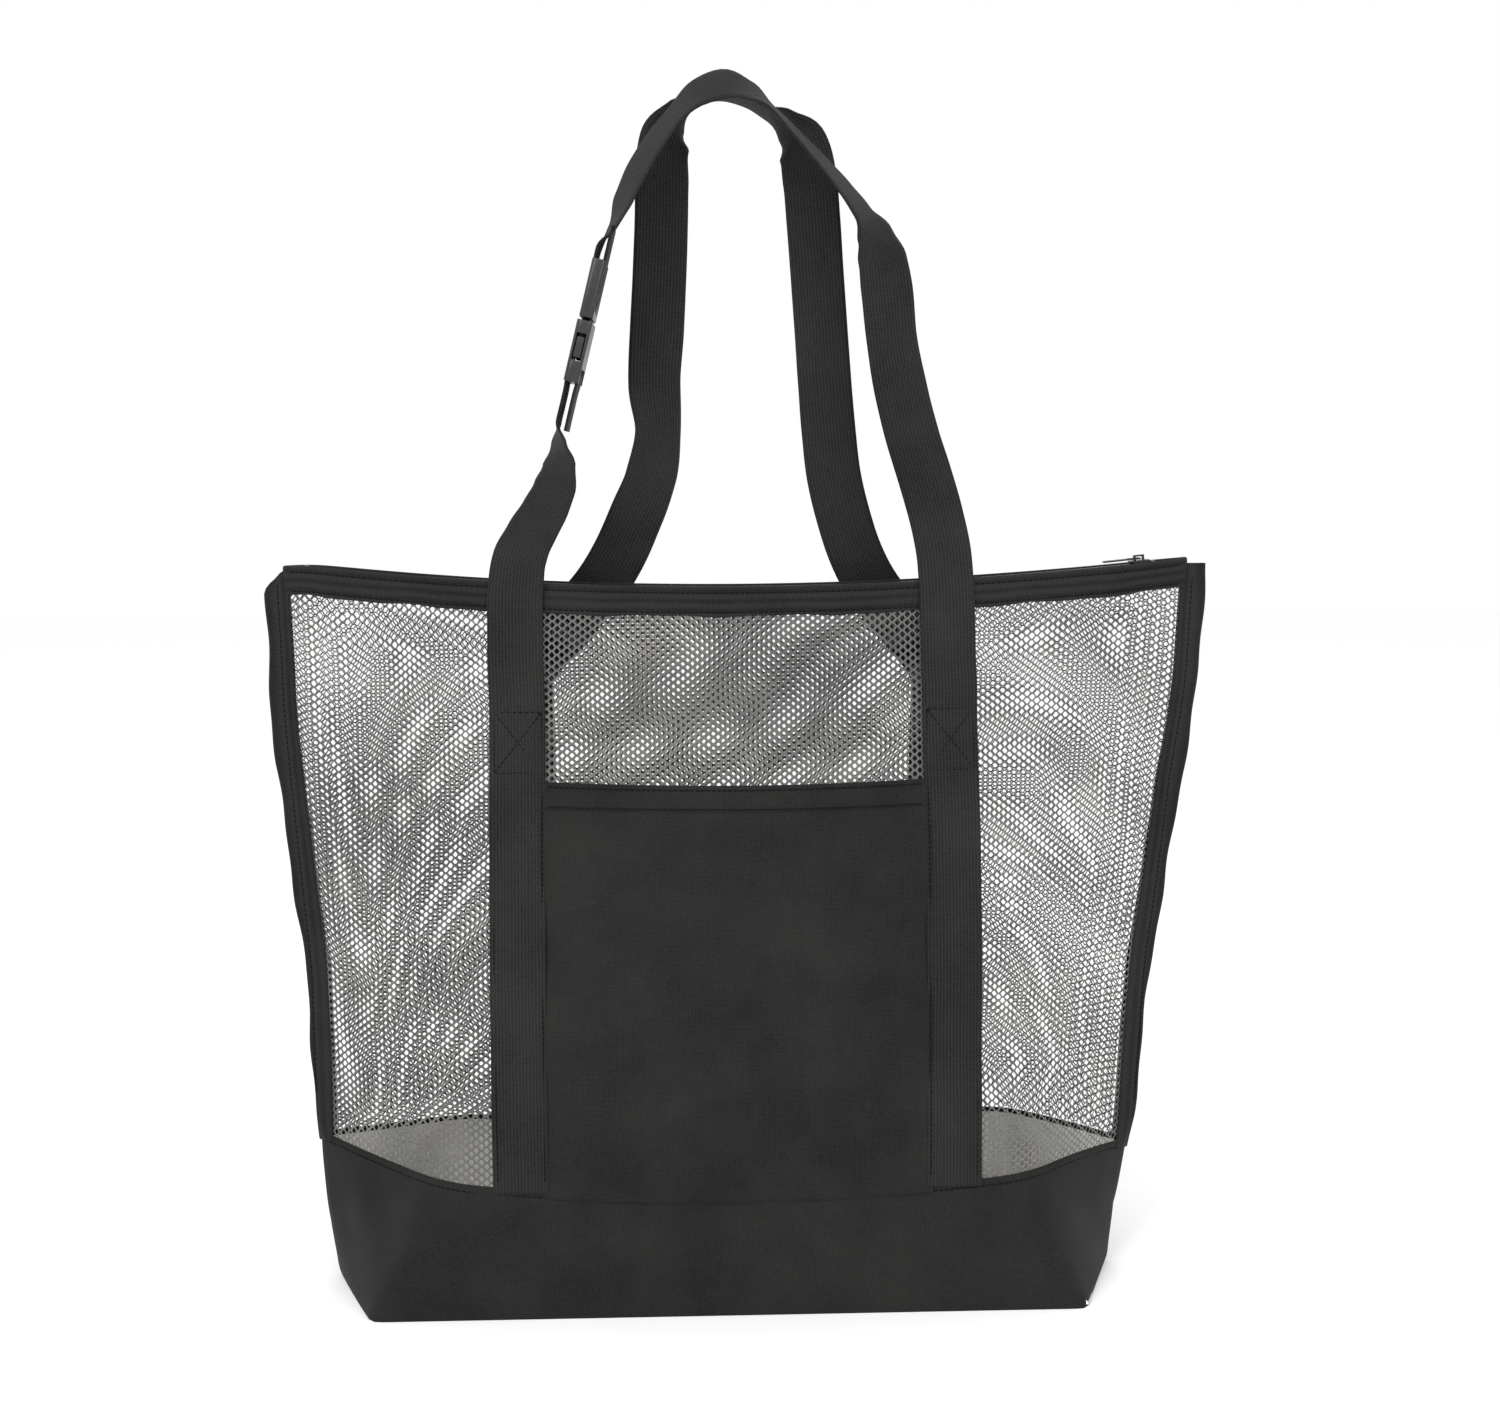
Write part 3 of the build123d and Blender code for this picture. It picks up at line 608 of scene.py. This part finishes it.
# Creases at the corners of the base: place at the seam, and how far they slant outwards below
CREASE_X = 0.183
CREASE_SLANT = 0.014


def base_piece(name, inward, top):
    """Fabric box: skirt up to a share of the base seam's height and a flat floor."""
    across = np.linspace(-1, 1, 121)
    up = np.concatenate([[0.0, 0.012, 0.035], np.linspace(0.08, 1, 22)])
    loops = []
    for v in up:
        half = []
        for side in (-1, 1):
            z = v * BASE_MIDDLE
            s = across * half_length(z)
            for _ in range(ROUNDS):
                x = section(s, z)[0]
                z = v * (base_z(x) + 0.001) * top
                s = across * half_length(z)
            points = body_point(s, z, side, 0.0009 - inward)
            swell = np.sin(pi * v) * np.clip((1 - np.abs(across)) / 0.08, 0, 1)
            bulge = 0.0018 * np.cos(across * 9 + side)
            bulge += 0.0012 * np.sin(across * 31 + 7 * v + side)
            groove_x = CREASE_X + CREASE_SLANT * (1 - v)
            groove = -0.0045 * np.exp(-(((points[..., 0] - groove_x) / 0.005) ** 2))
            groove -= 0.0014 * np.exp(-(((points[..., 0] + groove_x + 0.006) / 0.009) ** 2))
            points[..., 1] += side * (bulge + groove) * swell
            half.append(points if side < 0 else points[::-1])
        loops.append(np.concatenate([half[0], half[1][1:-1]]))
    loops = np.array(loops)
    round_in = 1 - (0.006 + 4 * inward) * np.clip((0.05 - up) / 0.05, 0, 1)
    loops[..., :2] *= round_in[:, None, None]
    floor = [loops[0] * (share, share, 0) + (0, 0, inward) for share in (0.15, 0.5, 0.8, 0.97)]
    loops = np.concatenate([np.array(floor), loops])
    length = np.linspace(0, 1.15, loops.shape[1])
    height = np.arange(len(loops)) * 0.004
    uv = np.stack(np.meshgrid(length, height), axis=-1)
    loops[..., 2] = np.maximum(loops[..., 2], inward)
    piece = grid_piece(name, loops, uv, around=True)
    close_ends(piece, loops.shape[1], (0,))
    return piece


base_box = thicken(base_piece("base_box", 0.0, 1.0), 0.0009, -1)
finish_piece(base_box, "bag", ("base_shell",), FABRIC)
lining = base_piece("base_lining", 0.0022, 0.965)
finish_piece(lining, "bag", (), LINING)


# Pocket: half width, how far it's tucked under the straps and the base, height of the band along
# its top, and the share of the pocket's height at which that band begins
POCKET_HALF = STRAP_X - WEB_WIDE / 2
POCKET_TUCK = 0.004
POCKET_BAND = 0.016
BAND_FROM = 0.94


def strip_on_body(name, low, high, out, steps):
    """Cloth patch on the front, from seam to seam of the pocket, between two height curves."""
    half = POCKET_HALF + POCKET_TUCK
    s = np.linspace(-half, half, steps[0])
    v = np.linspace(0, 1, steps[1])[:, None]
    z = low(s) + v * (high(s) - low(s))
    s = np.broadcast_to(s, z.shape)
    points = body_point(s, z, -1, out(s, v))
    return grid_piece(name, points, np.stack([s, z], axis=-1))


def pocket_lift(s, v):
    """How far the pocket stands off the panel: flat at its seams, gaping a little on top."""
    across = 1 - (np.abs(s) / (POCKET_HALF + POCKET_TUCK)) ** 4
    belly = 0.0016 * np.sin(pi * v) + 0.0042 * v**5
    ripple = 0.0004 * np.sin(34 * s + 5 * v) * np.sin(pi * v)
    return 0.0011 + (belly + ripple) * np.clip(across, 0, 1)


def pocket_top(s):
    return POCKET_TOP - 0.0025 * (1 - (s / POCKET_HALF) ** 2)


pocket = strip_on_body(
    "pocket_panel", lambda s: base_z(s) - POCKET_TUCK, pocket_top, pocket_lift, (60, 90)
)
thicken(pocket, 0.0008)
finish_piece(pocket, "bag", ("front_pocket",), FABRIC)

pocket_band = strip_on_body(
    "pocket_fold",
    lambda s: pocket_top(s) - POCKET_BAND,
    lambda s: pocket_top(s) + 0.0004,
    lambda s, v: pocket_lift(s, BAND_FROM + (1 - BAND_FROM) * v) + 0.0005,
    (60, 8),
)
thicken(pocket_band, 0.0006)
finish_piece(pocket_band, "bag", ("pocket_hem",), FABRIC)


# ---------------------------------------------------------------- tapes


def hem_tape(name, side):
    """Tape folded over the top edge of one panel."""
    fold = [(-0.0010, 0.012), (-0.0010, 0.004), (-0.0008, 0.001), (-0.0003, 0.0)]
    fold += [(0.0006, -0.0004), (0.0014, 0.0004), (0.0017, 0.003), (0.0016, 0.010)]
    fold += [(0.0014, HEM_BAND - 0.001), (0.0006, HEM_BAND)]
    fold = np.array(fold)
    u = np.linspace(-1, 1, 161)
    rows = []
    for out, drop in fold:
        z = np.full_like(u, HEM_START)
        for _ in range(ROUNDS):
            s = u * (half_length(z) - 0.002)
            z = hem_edge(section(s, z)[0]) - drop
        wave = 0.0005 * np.sin(u * 23 + side) + 0.0003 * np.sin(u * 51)
        points = body_point(s, z, side, out)
        points[..., 2] += wave * (drop / HEM_BAND)
        rows.append(points)
    run = np.concatenate([[0], np.cumsum(np.hypot(*np.diff(fold, axis=0).T))])
    uv = np.stack(np.meshgrid(u * 0.29, run), axis=-1)[..., ::-1]
    return grid_piece(name, np.array(rows), uv)


for name, node, side in (
    ("front_hem_tape", "front_hem_binding", -1),
    ("back_hem_tape", "back_hem_binding", 1),
):
    finish_piece(thicken(hem_tape(name, side), 0.0006), "bag", (node,), TAPE)


def side_tape(name, hand):
    """Tape folded over the side seam: a flap on each panel and a fin that stands out."""
    low = float(base_z(hand * BASE_END)) - 0.004
    high = TAPE_TOP - (2 * CORNER_SLUMP if hand < 0 else 0)
    z = np.linspace(low, high, 110)
    seam = seam_half(z) + hand * lean(hand * seam_half(z), z)
    turn = corner(z)[3]
    tip = TAPE_LOW_WIDE + (TAPE_WIDE - TAPE_LOW_WIDE) * np.clip((z - low) / 0.25, 0, 1)
    tip = tip + 0.0007 * np.sin(z * 58 + hand) + 0.0004 * np.sin(z * 131)
    if hand < 0:
        tip = tip - 0.0085 * np.clip((z - high + 0.011) / 0.011, 0, 1) ** 2
    flap_wide = 0.0045 + 0.0055 * np.clip((0.36 - z) / 0.2, 0, 1)
    shape = []
    for front in (-1, 1):
        flap = []
        for share, lift in ((1.0, 0.0010), (0.4, 0.0018)):
            back, up = share * flap_wide * np.cos(turn), share * flap_wide * np.sin(turn)
            flap.append((seam - back, front * (up + lift)))
        for reach, thick in ((0.0012, 0.0019), (tip - 0.0016, 0.0015), (tip - 0.0003, 0.0009)):
            flap.append((seam + reach, front * thick * np.ones_like(z)))
        shape.append(flap if front < 0 else flap[::-1])
    tip_line = [(seam + tip, np.zeros_like(z))]
    profile = shape[0] + tip_line + shape[1]
    rows = []
    for px, py in profile:
        rise = 1.6 * CORNER_SLUMP * np.clip((z - high + 0.02) / 0.02, 0, 1)
        rise = rise * (1 - np.clip((px - seam) / tip, 0, 1)) * (hand < 0)
        rows.append(np.stack([hand * px, py, z + rise], axis=-1))
    points = np.array(rows)
    run = np.arange(len(profile)) * 0.0035
    uv = np.stack(np.meshgrid(z, run), axis=-1)[..., ::-1]
    return grid_piece(name, points, uv)


for name, node, hand in (
    ("left_side_tape", "left_side_binding", -1),
    ("right_side_tape", "right_side_binding", 1),
):
    finish_piece(thicken(side_tape(name, hand), 0.0006), "bag", (node,), TAPE)


# ---------------------------------------------------------------- webbing


def buckle_point(width, out, up):
    """Point of the buckle's own frame: along its width, its thickness and the strap."""
    tilt = BUCKLE_LEAN
    return BUCKLE_BASE + Vector(
        (up * sin(tilt) - out * cos(tilt), width, up * cos(tilt) + out * sin(tilt))
    )


def wrap_stations(main_end, turn_at, tail_end, past):
    """Stations down a leg, round a bar and back; past is 1 over the bar and -1 under it."""
    stations = []
    for up in np.linspace(main_end, turn_at, 4)[:-1]:
        stations.append((0.0, LEG_OUT, up))
    for angle in np.linspace(0, pi, 7):
        stations.append((0.0, LEG_OUT * cos(angle), turn_at + past * LEG_OUT * sin(angle)))
    for up in np.linspace(turn_at, tail_end, 4)[1:]:
        stations.append((0.0, -LEG_OUT, up))
    return [(*buckle_point(*station), (0, 1, 0)) for station in stations]


def sewn_stations(x, side, wide_x, upward):
    """Stations of the sewn length of a strap, from the base seam to its stitched box."""
    heights = np.concatenate([np.linspace(0.0795, 0.379, 30), [0.3825, 0.386, 0.390]])
    stations = []
    for z in heights:
        lift = 0.0012 + (WEB_LIFT - 0.0012) * np.clip((z - 0.379) / 0.012, 0, 1)
        point = body_point(x, z, side, lift)
        stations.append((x, float(point[1]), float(z), (wide_x, 0, 0)))
    return stations if upward else stations[::-1]


def free_stations(stations, side):
    """Free stations with the depth filled in where the strap still lies on the bag."""
    filled = []
    for x, y, z, wide in stations:
        if y is None:
            y = float(body_point(x, z, side, WEB_LIFT)[1])
        filled.append((x, y, z, wide))
    return filled


def webbing_strip(name, stations):
    """Webbing swept along a smooth line through its stations, with rounded edges."""
    points = np.array([station[:3] for station in stations])
    wides = np.array([station[3] for station in stations], float)
    wides /= np.linalg.norm(wides, axis=1)[:, None]
    gaps = np.linalg.norm(np.diff(points, axis=0), axis=1)
    knots = np.concatenate([[0], np.cumsum(np.maximum(gaps, 1e-5))])
    slopes = np.gradient(points, knots, axis=0)
    count = int(knots[-1] / WEB_STEP)
    along = np.linspace(0, knots[-1], count)
    place = np.clip(np.searchsorted(knots, along, side="right") - 1, 0, len(knots) - 2)
    span = (knots[place + 1] - knots[place])[:, None]
    t = (along - knots[place])[:, None] / span
    line = (2 * t**3 - 3 * t**2 + 1) * points[place]
    line += (t**3 - 2 * t**2 + t) * span * slopes[place]
    line += (3 * t**2 - 2 * t**3) * points[place + 1]
    line += (t**3 - t**2) * span * slopes[place + 1]
    ease = t * t * (3 - 2 * t)
    wide = wides[place] * (1 - ease) + wides[place + 1] * ease
    tangent = np.gradient(line, axis=0)
    tangent /= np.linalg.norm(tangent, axis=1)[:, None]
    wide -= tangent * np.sum(wide * tangent, axis=1)[:, None]
    wide /= np.linalg.norm(wide, axis=1)[:, None]
    normal = np.cross(tangent, wide)
    half = WEB_WIDE / 2
    n = WEB_COLUMNS
    across = np.concatenate([np.linspace(-1, 1, n), np.linspace(1, -1, n)]) * (half - 0.0004)
    height = np.concatenate([np.full(n, -WEB_THICK / 2), np.full(n, WEB_THICK / 2)])
    across[[0, -1]] = -half
    across[[n - 1, n]] = half
    height[[0, n - 1, n, -1]] *= 0.35
    dish = 0.0005 * (1 - (across / half) ** 2) * np.sign(height)
    profile = np.stack([across, height + 0.35 * dish], axis=1)
    body = line[:, None, :] + wide[:, None, :] * profile[:, 0][None, :, None]
    body = body + normal[:, None, :] * profile[:, 1][None, :, None]
    run = np.concatenate([[0], np.cumsum(np.linalg.norm(np.diff(line, axis=0), axis=1))])
    uv = np.stack(np.meshgrid(profile[:, 0], run), axis=-1)
    piece = grid_piece(name, body, uv, around=True)
    ring = body.shape[1]
    close_ends(piece, ring, (0, len(piece.data.vertices) - ring))
    return piece


def swing(piece, nodes):
    """Gives a webbing piece its material, bakes its placement into its mesh and hides the nodes
    that it replaces.
    """
    piece.data.materials.append(WEBBING)
    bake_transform(piece)
    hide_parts(*nodes)


right_web = webbing_strip(
    "front_webbing_right",
    sewn_stations(STRAP_X, -1, 1, True)
    + free_stations(FRONT_RIGHT_ARM, -1)
    + wrap_stations(0.084, PLUG_TURN, 0.098, -1),
)
swing(right_web, ("front_strap_right", "front_handle_upper_strap"))
left_web = webbing_strip(
    "front_webbing_left",
    sewn_stations(-STRAP_X - 0.0005, -1, -1, True)
    + free_stations(FRONT_LEFT_ARM, -1)
    + wrap_stations(-0.026, SOCKET_TURN, -0.030, 1),
)
swing(left_web, ("front_strap_left", "front_handle_lower_strap"))
back_web = webbing_strip(
    "back_webbing",
    sewn_stations(STRAP_X, 1, 1, True)
    + free_stations(BACK_ARMS, 1)
    + sewn_stations(-STRAP_X, 1, -1, False),
)
swing(back_web, ("back_strap_left", "back_strap_right", "back_handle_strap"))


# ---------------------------------------------------------------- stitches

STITCH_PITCH = 0.0034
STITCH_LONG = 0.0027
STITCH_RADIUS = 0.00036


def stitch_line(points, normals):
    """Thread stitches along a line: a spindle for each stitch, open at its narrow ends, as
    vertices and faces.
    """
    points, normals = np.asarray(points), np.asarray(normals)
    gaps = np.linalg.norm(np.diff(points, axis=0), axis=1)
    knots = np.concatenate([[0], np.cumsum(gaps)])
    count = max(1, int(knots[-1] / STITCH_PITCH))
    middle = (np.arange(count) + 0.5) * knots[-1] / count
    centre = np.stack([np.interp(middle, knots, points[:, i]) for i in range(3)], axis=1)
    ahead = [np.interp(middle + 0.0005, knots, points[:, i]) for i in range(3)]
    behind = [np.interp(middle - 0.0005, knots, points[:, i]) for i in range(3)]
    along = np.stack(ahead, axis=1) - np.stack(behind, axis=1)
    along /= np.linalg.norm(along, axis=1)[:, None]
    out = np.stack([np.interp(middle, knots, normals[:, i]) for i in range(3)], axis=1)
    across = np.cross(along, out)
    across /= np.linalg.norm(across, axis=1)[:, None]
    rings = [(-0.5, 0.0), (-0.36, 1.0), (0.36, 1.0), (0.5, 0.0)]
    verts = []
    for place, swell in rings:
        for angle in np.arange(6) * pi / 3:
            spread = STITCH_RADIUS * max(swell, 0.25)
            offset = across * (spread * cos(angle)) + out * (spread * sin(angle))
            verts.append(centre + along * (place * STITCH_LONG) + offset)
    verts = np.stack(verts, axis=1)
    pattern = grid(4, 6, around=True)
    faces = (np.arange(count) * 24)[:, None, None] + pattern[None]
    return verts.reshape(-1, 3), faces.reshape(-1, 4)


def stitches(name, lines, nodes=()):
    verts, faces, total = [], [], 0
    for points, normals in lines:
        more, more_faces = stitch_line(points, normals)
        verts.append(more)
        faces.append(more_faces + total)
        total += len(more)
    verts = np.concatenate(verts)
    piece = build(name, verts, np.concatenate(faces), verts[:, [0, 2]])
    finish_piece(piece, "bag", nodes, THREAD_WITH_PAINTED_SHADE)


def body_line(s, z, side, out):
    """Line on the bag at a height over it, with its normals."""
    s, z = np.broadcast_arrays(np.asarray(s, float), np.asarray(z, float))
    near = body_point(s, z, side, out)
    far = body_point(s, z, side, out + 0.001)
    return near, (far - near) / 0.001


# Height of the strap stitches over the panel
WEB_FACE = 0.00225
box_lines = []
edge_lines = []
for side in (-1, 1):
    for x in (-STRAP_X, STRAP_X):
        half = WEB_WIDE / 2 - 0.0028
        low, high = BOX_LOW + 0.002, SEWN_TOP - 0.0045
        corners = [(-half, low), (half, low), (half, high), (-half, high), (-half, low)]
        strokes = list(zip(corners, corners[1:]))
        strokes += [((-half, low), (half, high)), ((-half, high), (half, low))]
        for (s0, z0), (s1, z1) in strokes:
            s = x + np.linspace(s0, s1, 12)
            box_lines.append(body_line(s, np.linspace(z0, z1, 12), side, WEB_FACE))
        for edge in (-half, half):
            z = np.linspace(float(base_z(x)) + 0.006, BOX_LOW - 0.001, 60)
            edge_lines.append(body_line(x + edge, z, side, WEB_FACE))
stitches("box_stitching", box_lines, nodes=("box_stitches",))
stitches("strap_stitching", edge_lines)

seam_lines = []
for side in (-1, 1):
    u = np.linspace(-0.975, 0.975, 200)
    for drop, out in ((HEM_BAND - 0.0022, 0.0018), (0.0035, 0.0021)):
        z = np.full_like(u, HEM_START)
        for _ in range(ROUNDS):
            s = u * half_length(z)
            z = hem_edge(section(s, z)[0]) - drop
        seam_lines.append(body_line(s, z, side, out))
    z = np.full_like(u, BASE_MIDDLE)
    for _ in range(ROUNDS):
        s = u * half_length(z)
        z = base_z(section(s, z)[0]) - 0.0035
    seam_lines.append(body_line(s, z, side, 0.0010))
for hand in (-1, 1):
    z = np.linspace(float(base_z(hand * BASE_END)) + 0.028, 0.458, 160)
    for front in (-1, 1):
        x = hand * (seam_half(z) + 0.0030)
        line = np.stack([x + lean(x, z), front * 0.0021 + 0 * z, z], axis=-1)
        seam_lines.append((line, np.tile([0.0, float(front), 0.0], (len(z), 1))))
stitches("seam_stitching", seam_lines)

s = np.linspace(-POCKET_HALF + 0.001, POCKET_HALF - 0.001, 90)
pocket_lines = []
for drop in (0.0145, 0.0025):
    lift = pocket_lift(s, 1 - (1 - BAND_FROM) * drop / POCKET_BAND) + 0.0014
    z = pocket_top(s) - drop
    near = body_point(s, z, -1, lift)
    pocket_lines.append((near, np.tile([0.0, -1.0, 0.0], (len(s), 1))))
stitches("pocket_stitching", pocket_lines)


# ---------------------------------------------------------------- zip


def zip_teeth(name, side):
    """Row of moulded teeth along the hem's arc, hooked over the middle in turn."""
    pitch = 0.00175
    half = 0.2685
    count = int(2 * half / pitch)
    along = -half + (np.arange(count) + (0.25 if side < 0 else 0.75)) * pitch
    outline = np.array([(-0.42, 0.0034), (0.42, 0.0034), (0.30, 0.0016), (0.46, 0.0010)])
    outline = np.concatenate([outline, [(0.0, 0.00052), (-0.46, 0.0010), (-0.30, 0.0016)]])
    verts = []
    for level in (-0.0013, 0.0013):
        for reach, y in outline:
            x = along + reach * pitch
            z = hem_z(x, CHAIN_DROP) + level * (1.0 if abs(y) > 0.0008 else 0.6)
            verts.append(np.stack([x, np.full(count, side * y), z], axis=-1))
    verts = np.stack(verts, axis=1)
    sides = len(outline)
    ring = np.arange(sides)
    walls = np.stack([ring, (ring + 1) % sides, (ring + 1) % sides + sides, ring + sides], axis=1)
    caps = [(0, 1, 2, 6), (2, 3, 5, 6)]
    top = [tuple(i + sides for i in cap)[::-1] for cap in caps]
    walls = np.concatenate([walls, caps, top])
    faces = (np.arange(count) * 2 * sides)[:, None, None] + walls[None]
    piece = build(name, verts.reshape(-1, 3), faces.reshape(-1, 4), None, smooth=False)
    shape = bmesh.new()
    shape.from_mesh(piece.data)
    bmesh.ops.holes_fill(shape, edges=shape.edges)
    bmesh.ops.recalc_face_normals(shape, faces=shape.faces)
    shape.to_mesh(piece.data)
    shape.free()
    return piece


for name, node, side in (
    ("front_zip_coil", "zip_teeth_front", -1),
    ("back_zip_coil", "zip_teeth_back", 1),
):
    finish_piece(zip_teeth(name, side), "bag", (node,), TEETH)


# ---------------------------------------------------------------- hard pieces


def rounded_copy(node, body, look, width):
    """Copy of a hard node with its flat faces joined and its edges rounded."""
    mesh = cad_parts[node].data.copy()
    mesh.materials.clear()
    shape = bmesh.new()
    shape.from_mesh(mesh)
    bmesh.ops.remove_doubles(shape, verts=shape.verts, dist=2e-6)
    bmesh.ops.dissolve_limit(
        shape, angle_limit=radians(1.5), verts=shape.verts, edges=shape.edges
    )
    shape.to_mesh(mesh)
    shape.free()
    piece = bpy.data.objects.new("moulded_" + node, mesh)
    bpy.context.scene.collection.objects.link(piece)
    edge = piece.modifiers.new("edges", "BEVEL")
    edge.width = width
    edge.segments = 3
    edge.limit_method = "ANGLE"
    edge.angle_limit = radians(35)
    edge.harden_normals = True
    for face in mesh.polygons:
        face.use_smooth = True
    finish_piece(piece, body, (node,), look)


for node, body in (
    ("buckle_socket", "front_handle"),
    ("buckle_plug", "front_handle"),
    ("buckle_prong_front", "buckle_prong_front"),
    ("buckle_prong_rear", "buckle_prong_rear"),
):
    rounded_copy(node, body, PLASTIC, 0.0006)
rounded_copy("zip_slider", "zip_slider", METAL, 0.00018)
rounded_copy("zip_pull", "zip_pull", METAL, 0.00022)
rounded_copy("zip_stop_left", "bag", TEETH, 0.0002)
rounded_copy("zip_stop_right", "bag", TEETH, 0.0002)

for node, look in (("zip_tape_front", TAPE), ("zip_tape_back", TAPE), ("base_board", BOARD)):
    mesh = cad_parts[node].data
    mesh.materials.clear()
    mesh.materials.append(look)


# ---------------------------------------------------------------- stage, light and camera


def area_light(name, place, aim, size, power):
    data = bpy.data.lights.new(name, "AREA")
    data.shape = "RECTANGLE"
    data.size, data.size_y = size
    data.energy = power
    light = bpy.data.objects.new(name, data)
    bpy.context.scene.collection.objects.link(light)
    light.location = place
    direction = Vector(aim) - Vector(place)
    light.rotation_euler = direction.to_track_quat("-Z", "Y").to_euler()


FLOOR_Z = -0.0002


def stage():
    """Wide flat pale floor just under the bag."""
    x = np.linspace(-9, 9, 3)
    y = np.linspace(-6, 6, 3)
    points = np.stack(np.meshgrid(x, y, [FLOOR_Z]), axis=-1)[:, :, 0, :]
    floor = grid_piece("floor", points, points[..., :2])
    look, _, shader = new_material("pale_floor", 0.9, specular=0.1)
    shader.inputs["Base Color"].default_value = (0.97, 0.97, 0.97, 1)
    floor.data.materials.append(look)


stage()
world = bpy.data.worlds.new("studio")
world.use_nodes = True
world.node_tree.nodes["Background"].inputs[0].default_value = (1.0, 1.0, 1.0, 1)
world.node_tree.nodes["Background"].inputs[1].default_value = 1.0
bpy.context.scene.world = world
area_light("key", (-1.6, -2.2, 2.2), (0, 0, 0.35), (1.6, 1.6), 55)
area_light("fill", (1.9, -1.8, 1.3), (0, 0, 0.35), (1.4, 1.4), 25)

CAMERA_PLACE = Vector((-0.0322, -1.2275, 0.5255))
CAMERA_DOWN = radians(6.9)
CAMERA_TURN = radians(2.0)
CAMERA_ROLL = radians(-0.25)
camera_data = bpy.data.cameras.new("camera")
camera_data.lens = 46.0
camera_data.sensor_width = 36.0
camera_data.clip_end = 50
camera = bpy.data.objects.new("camera", camera_data)
bpy.context.scene.collection.objects.link(camera)
look_down = Matrix.Rotation(pi / 2 - CAMERA_DOWN, 4, "X")
camera.matrix_world = (
    Matrix.Translation(CAMERA_PLACE)
    @ Matrix.Rotation(-CAMERA_TURN, 4, "Z")
    @ look_down
    @ Matrix.Rotation(CAMERA_ROLL, 4, "Z")
)
bpy.context.scene.camera = camera
bpy.context.scene.view_settings.view_transform = "Standard"
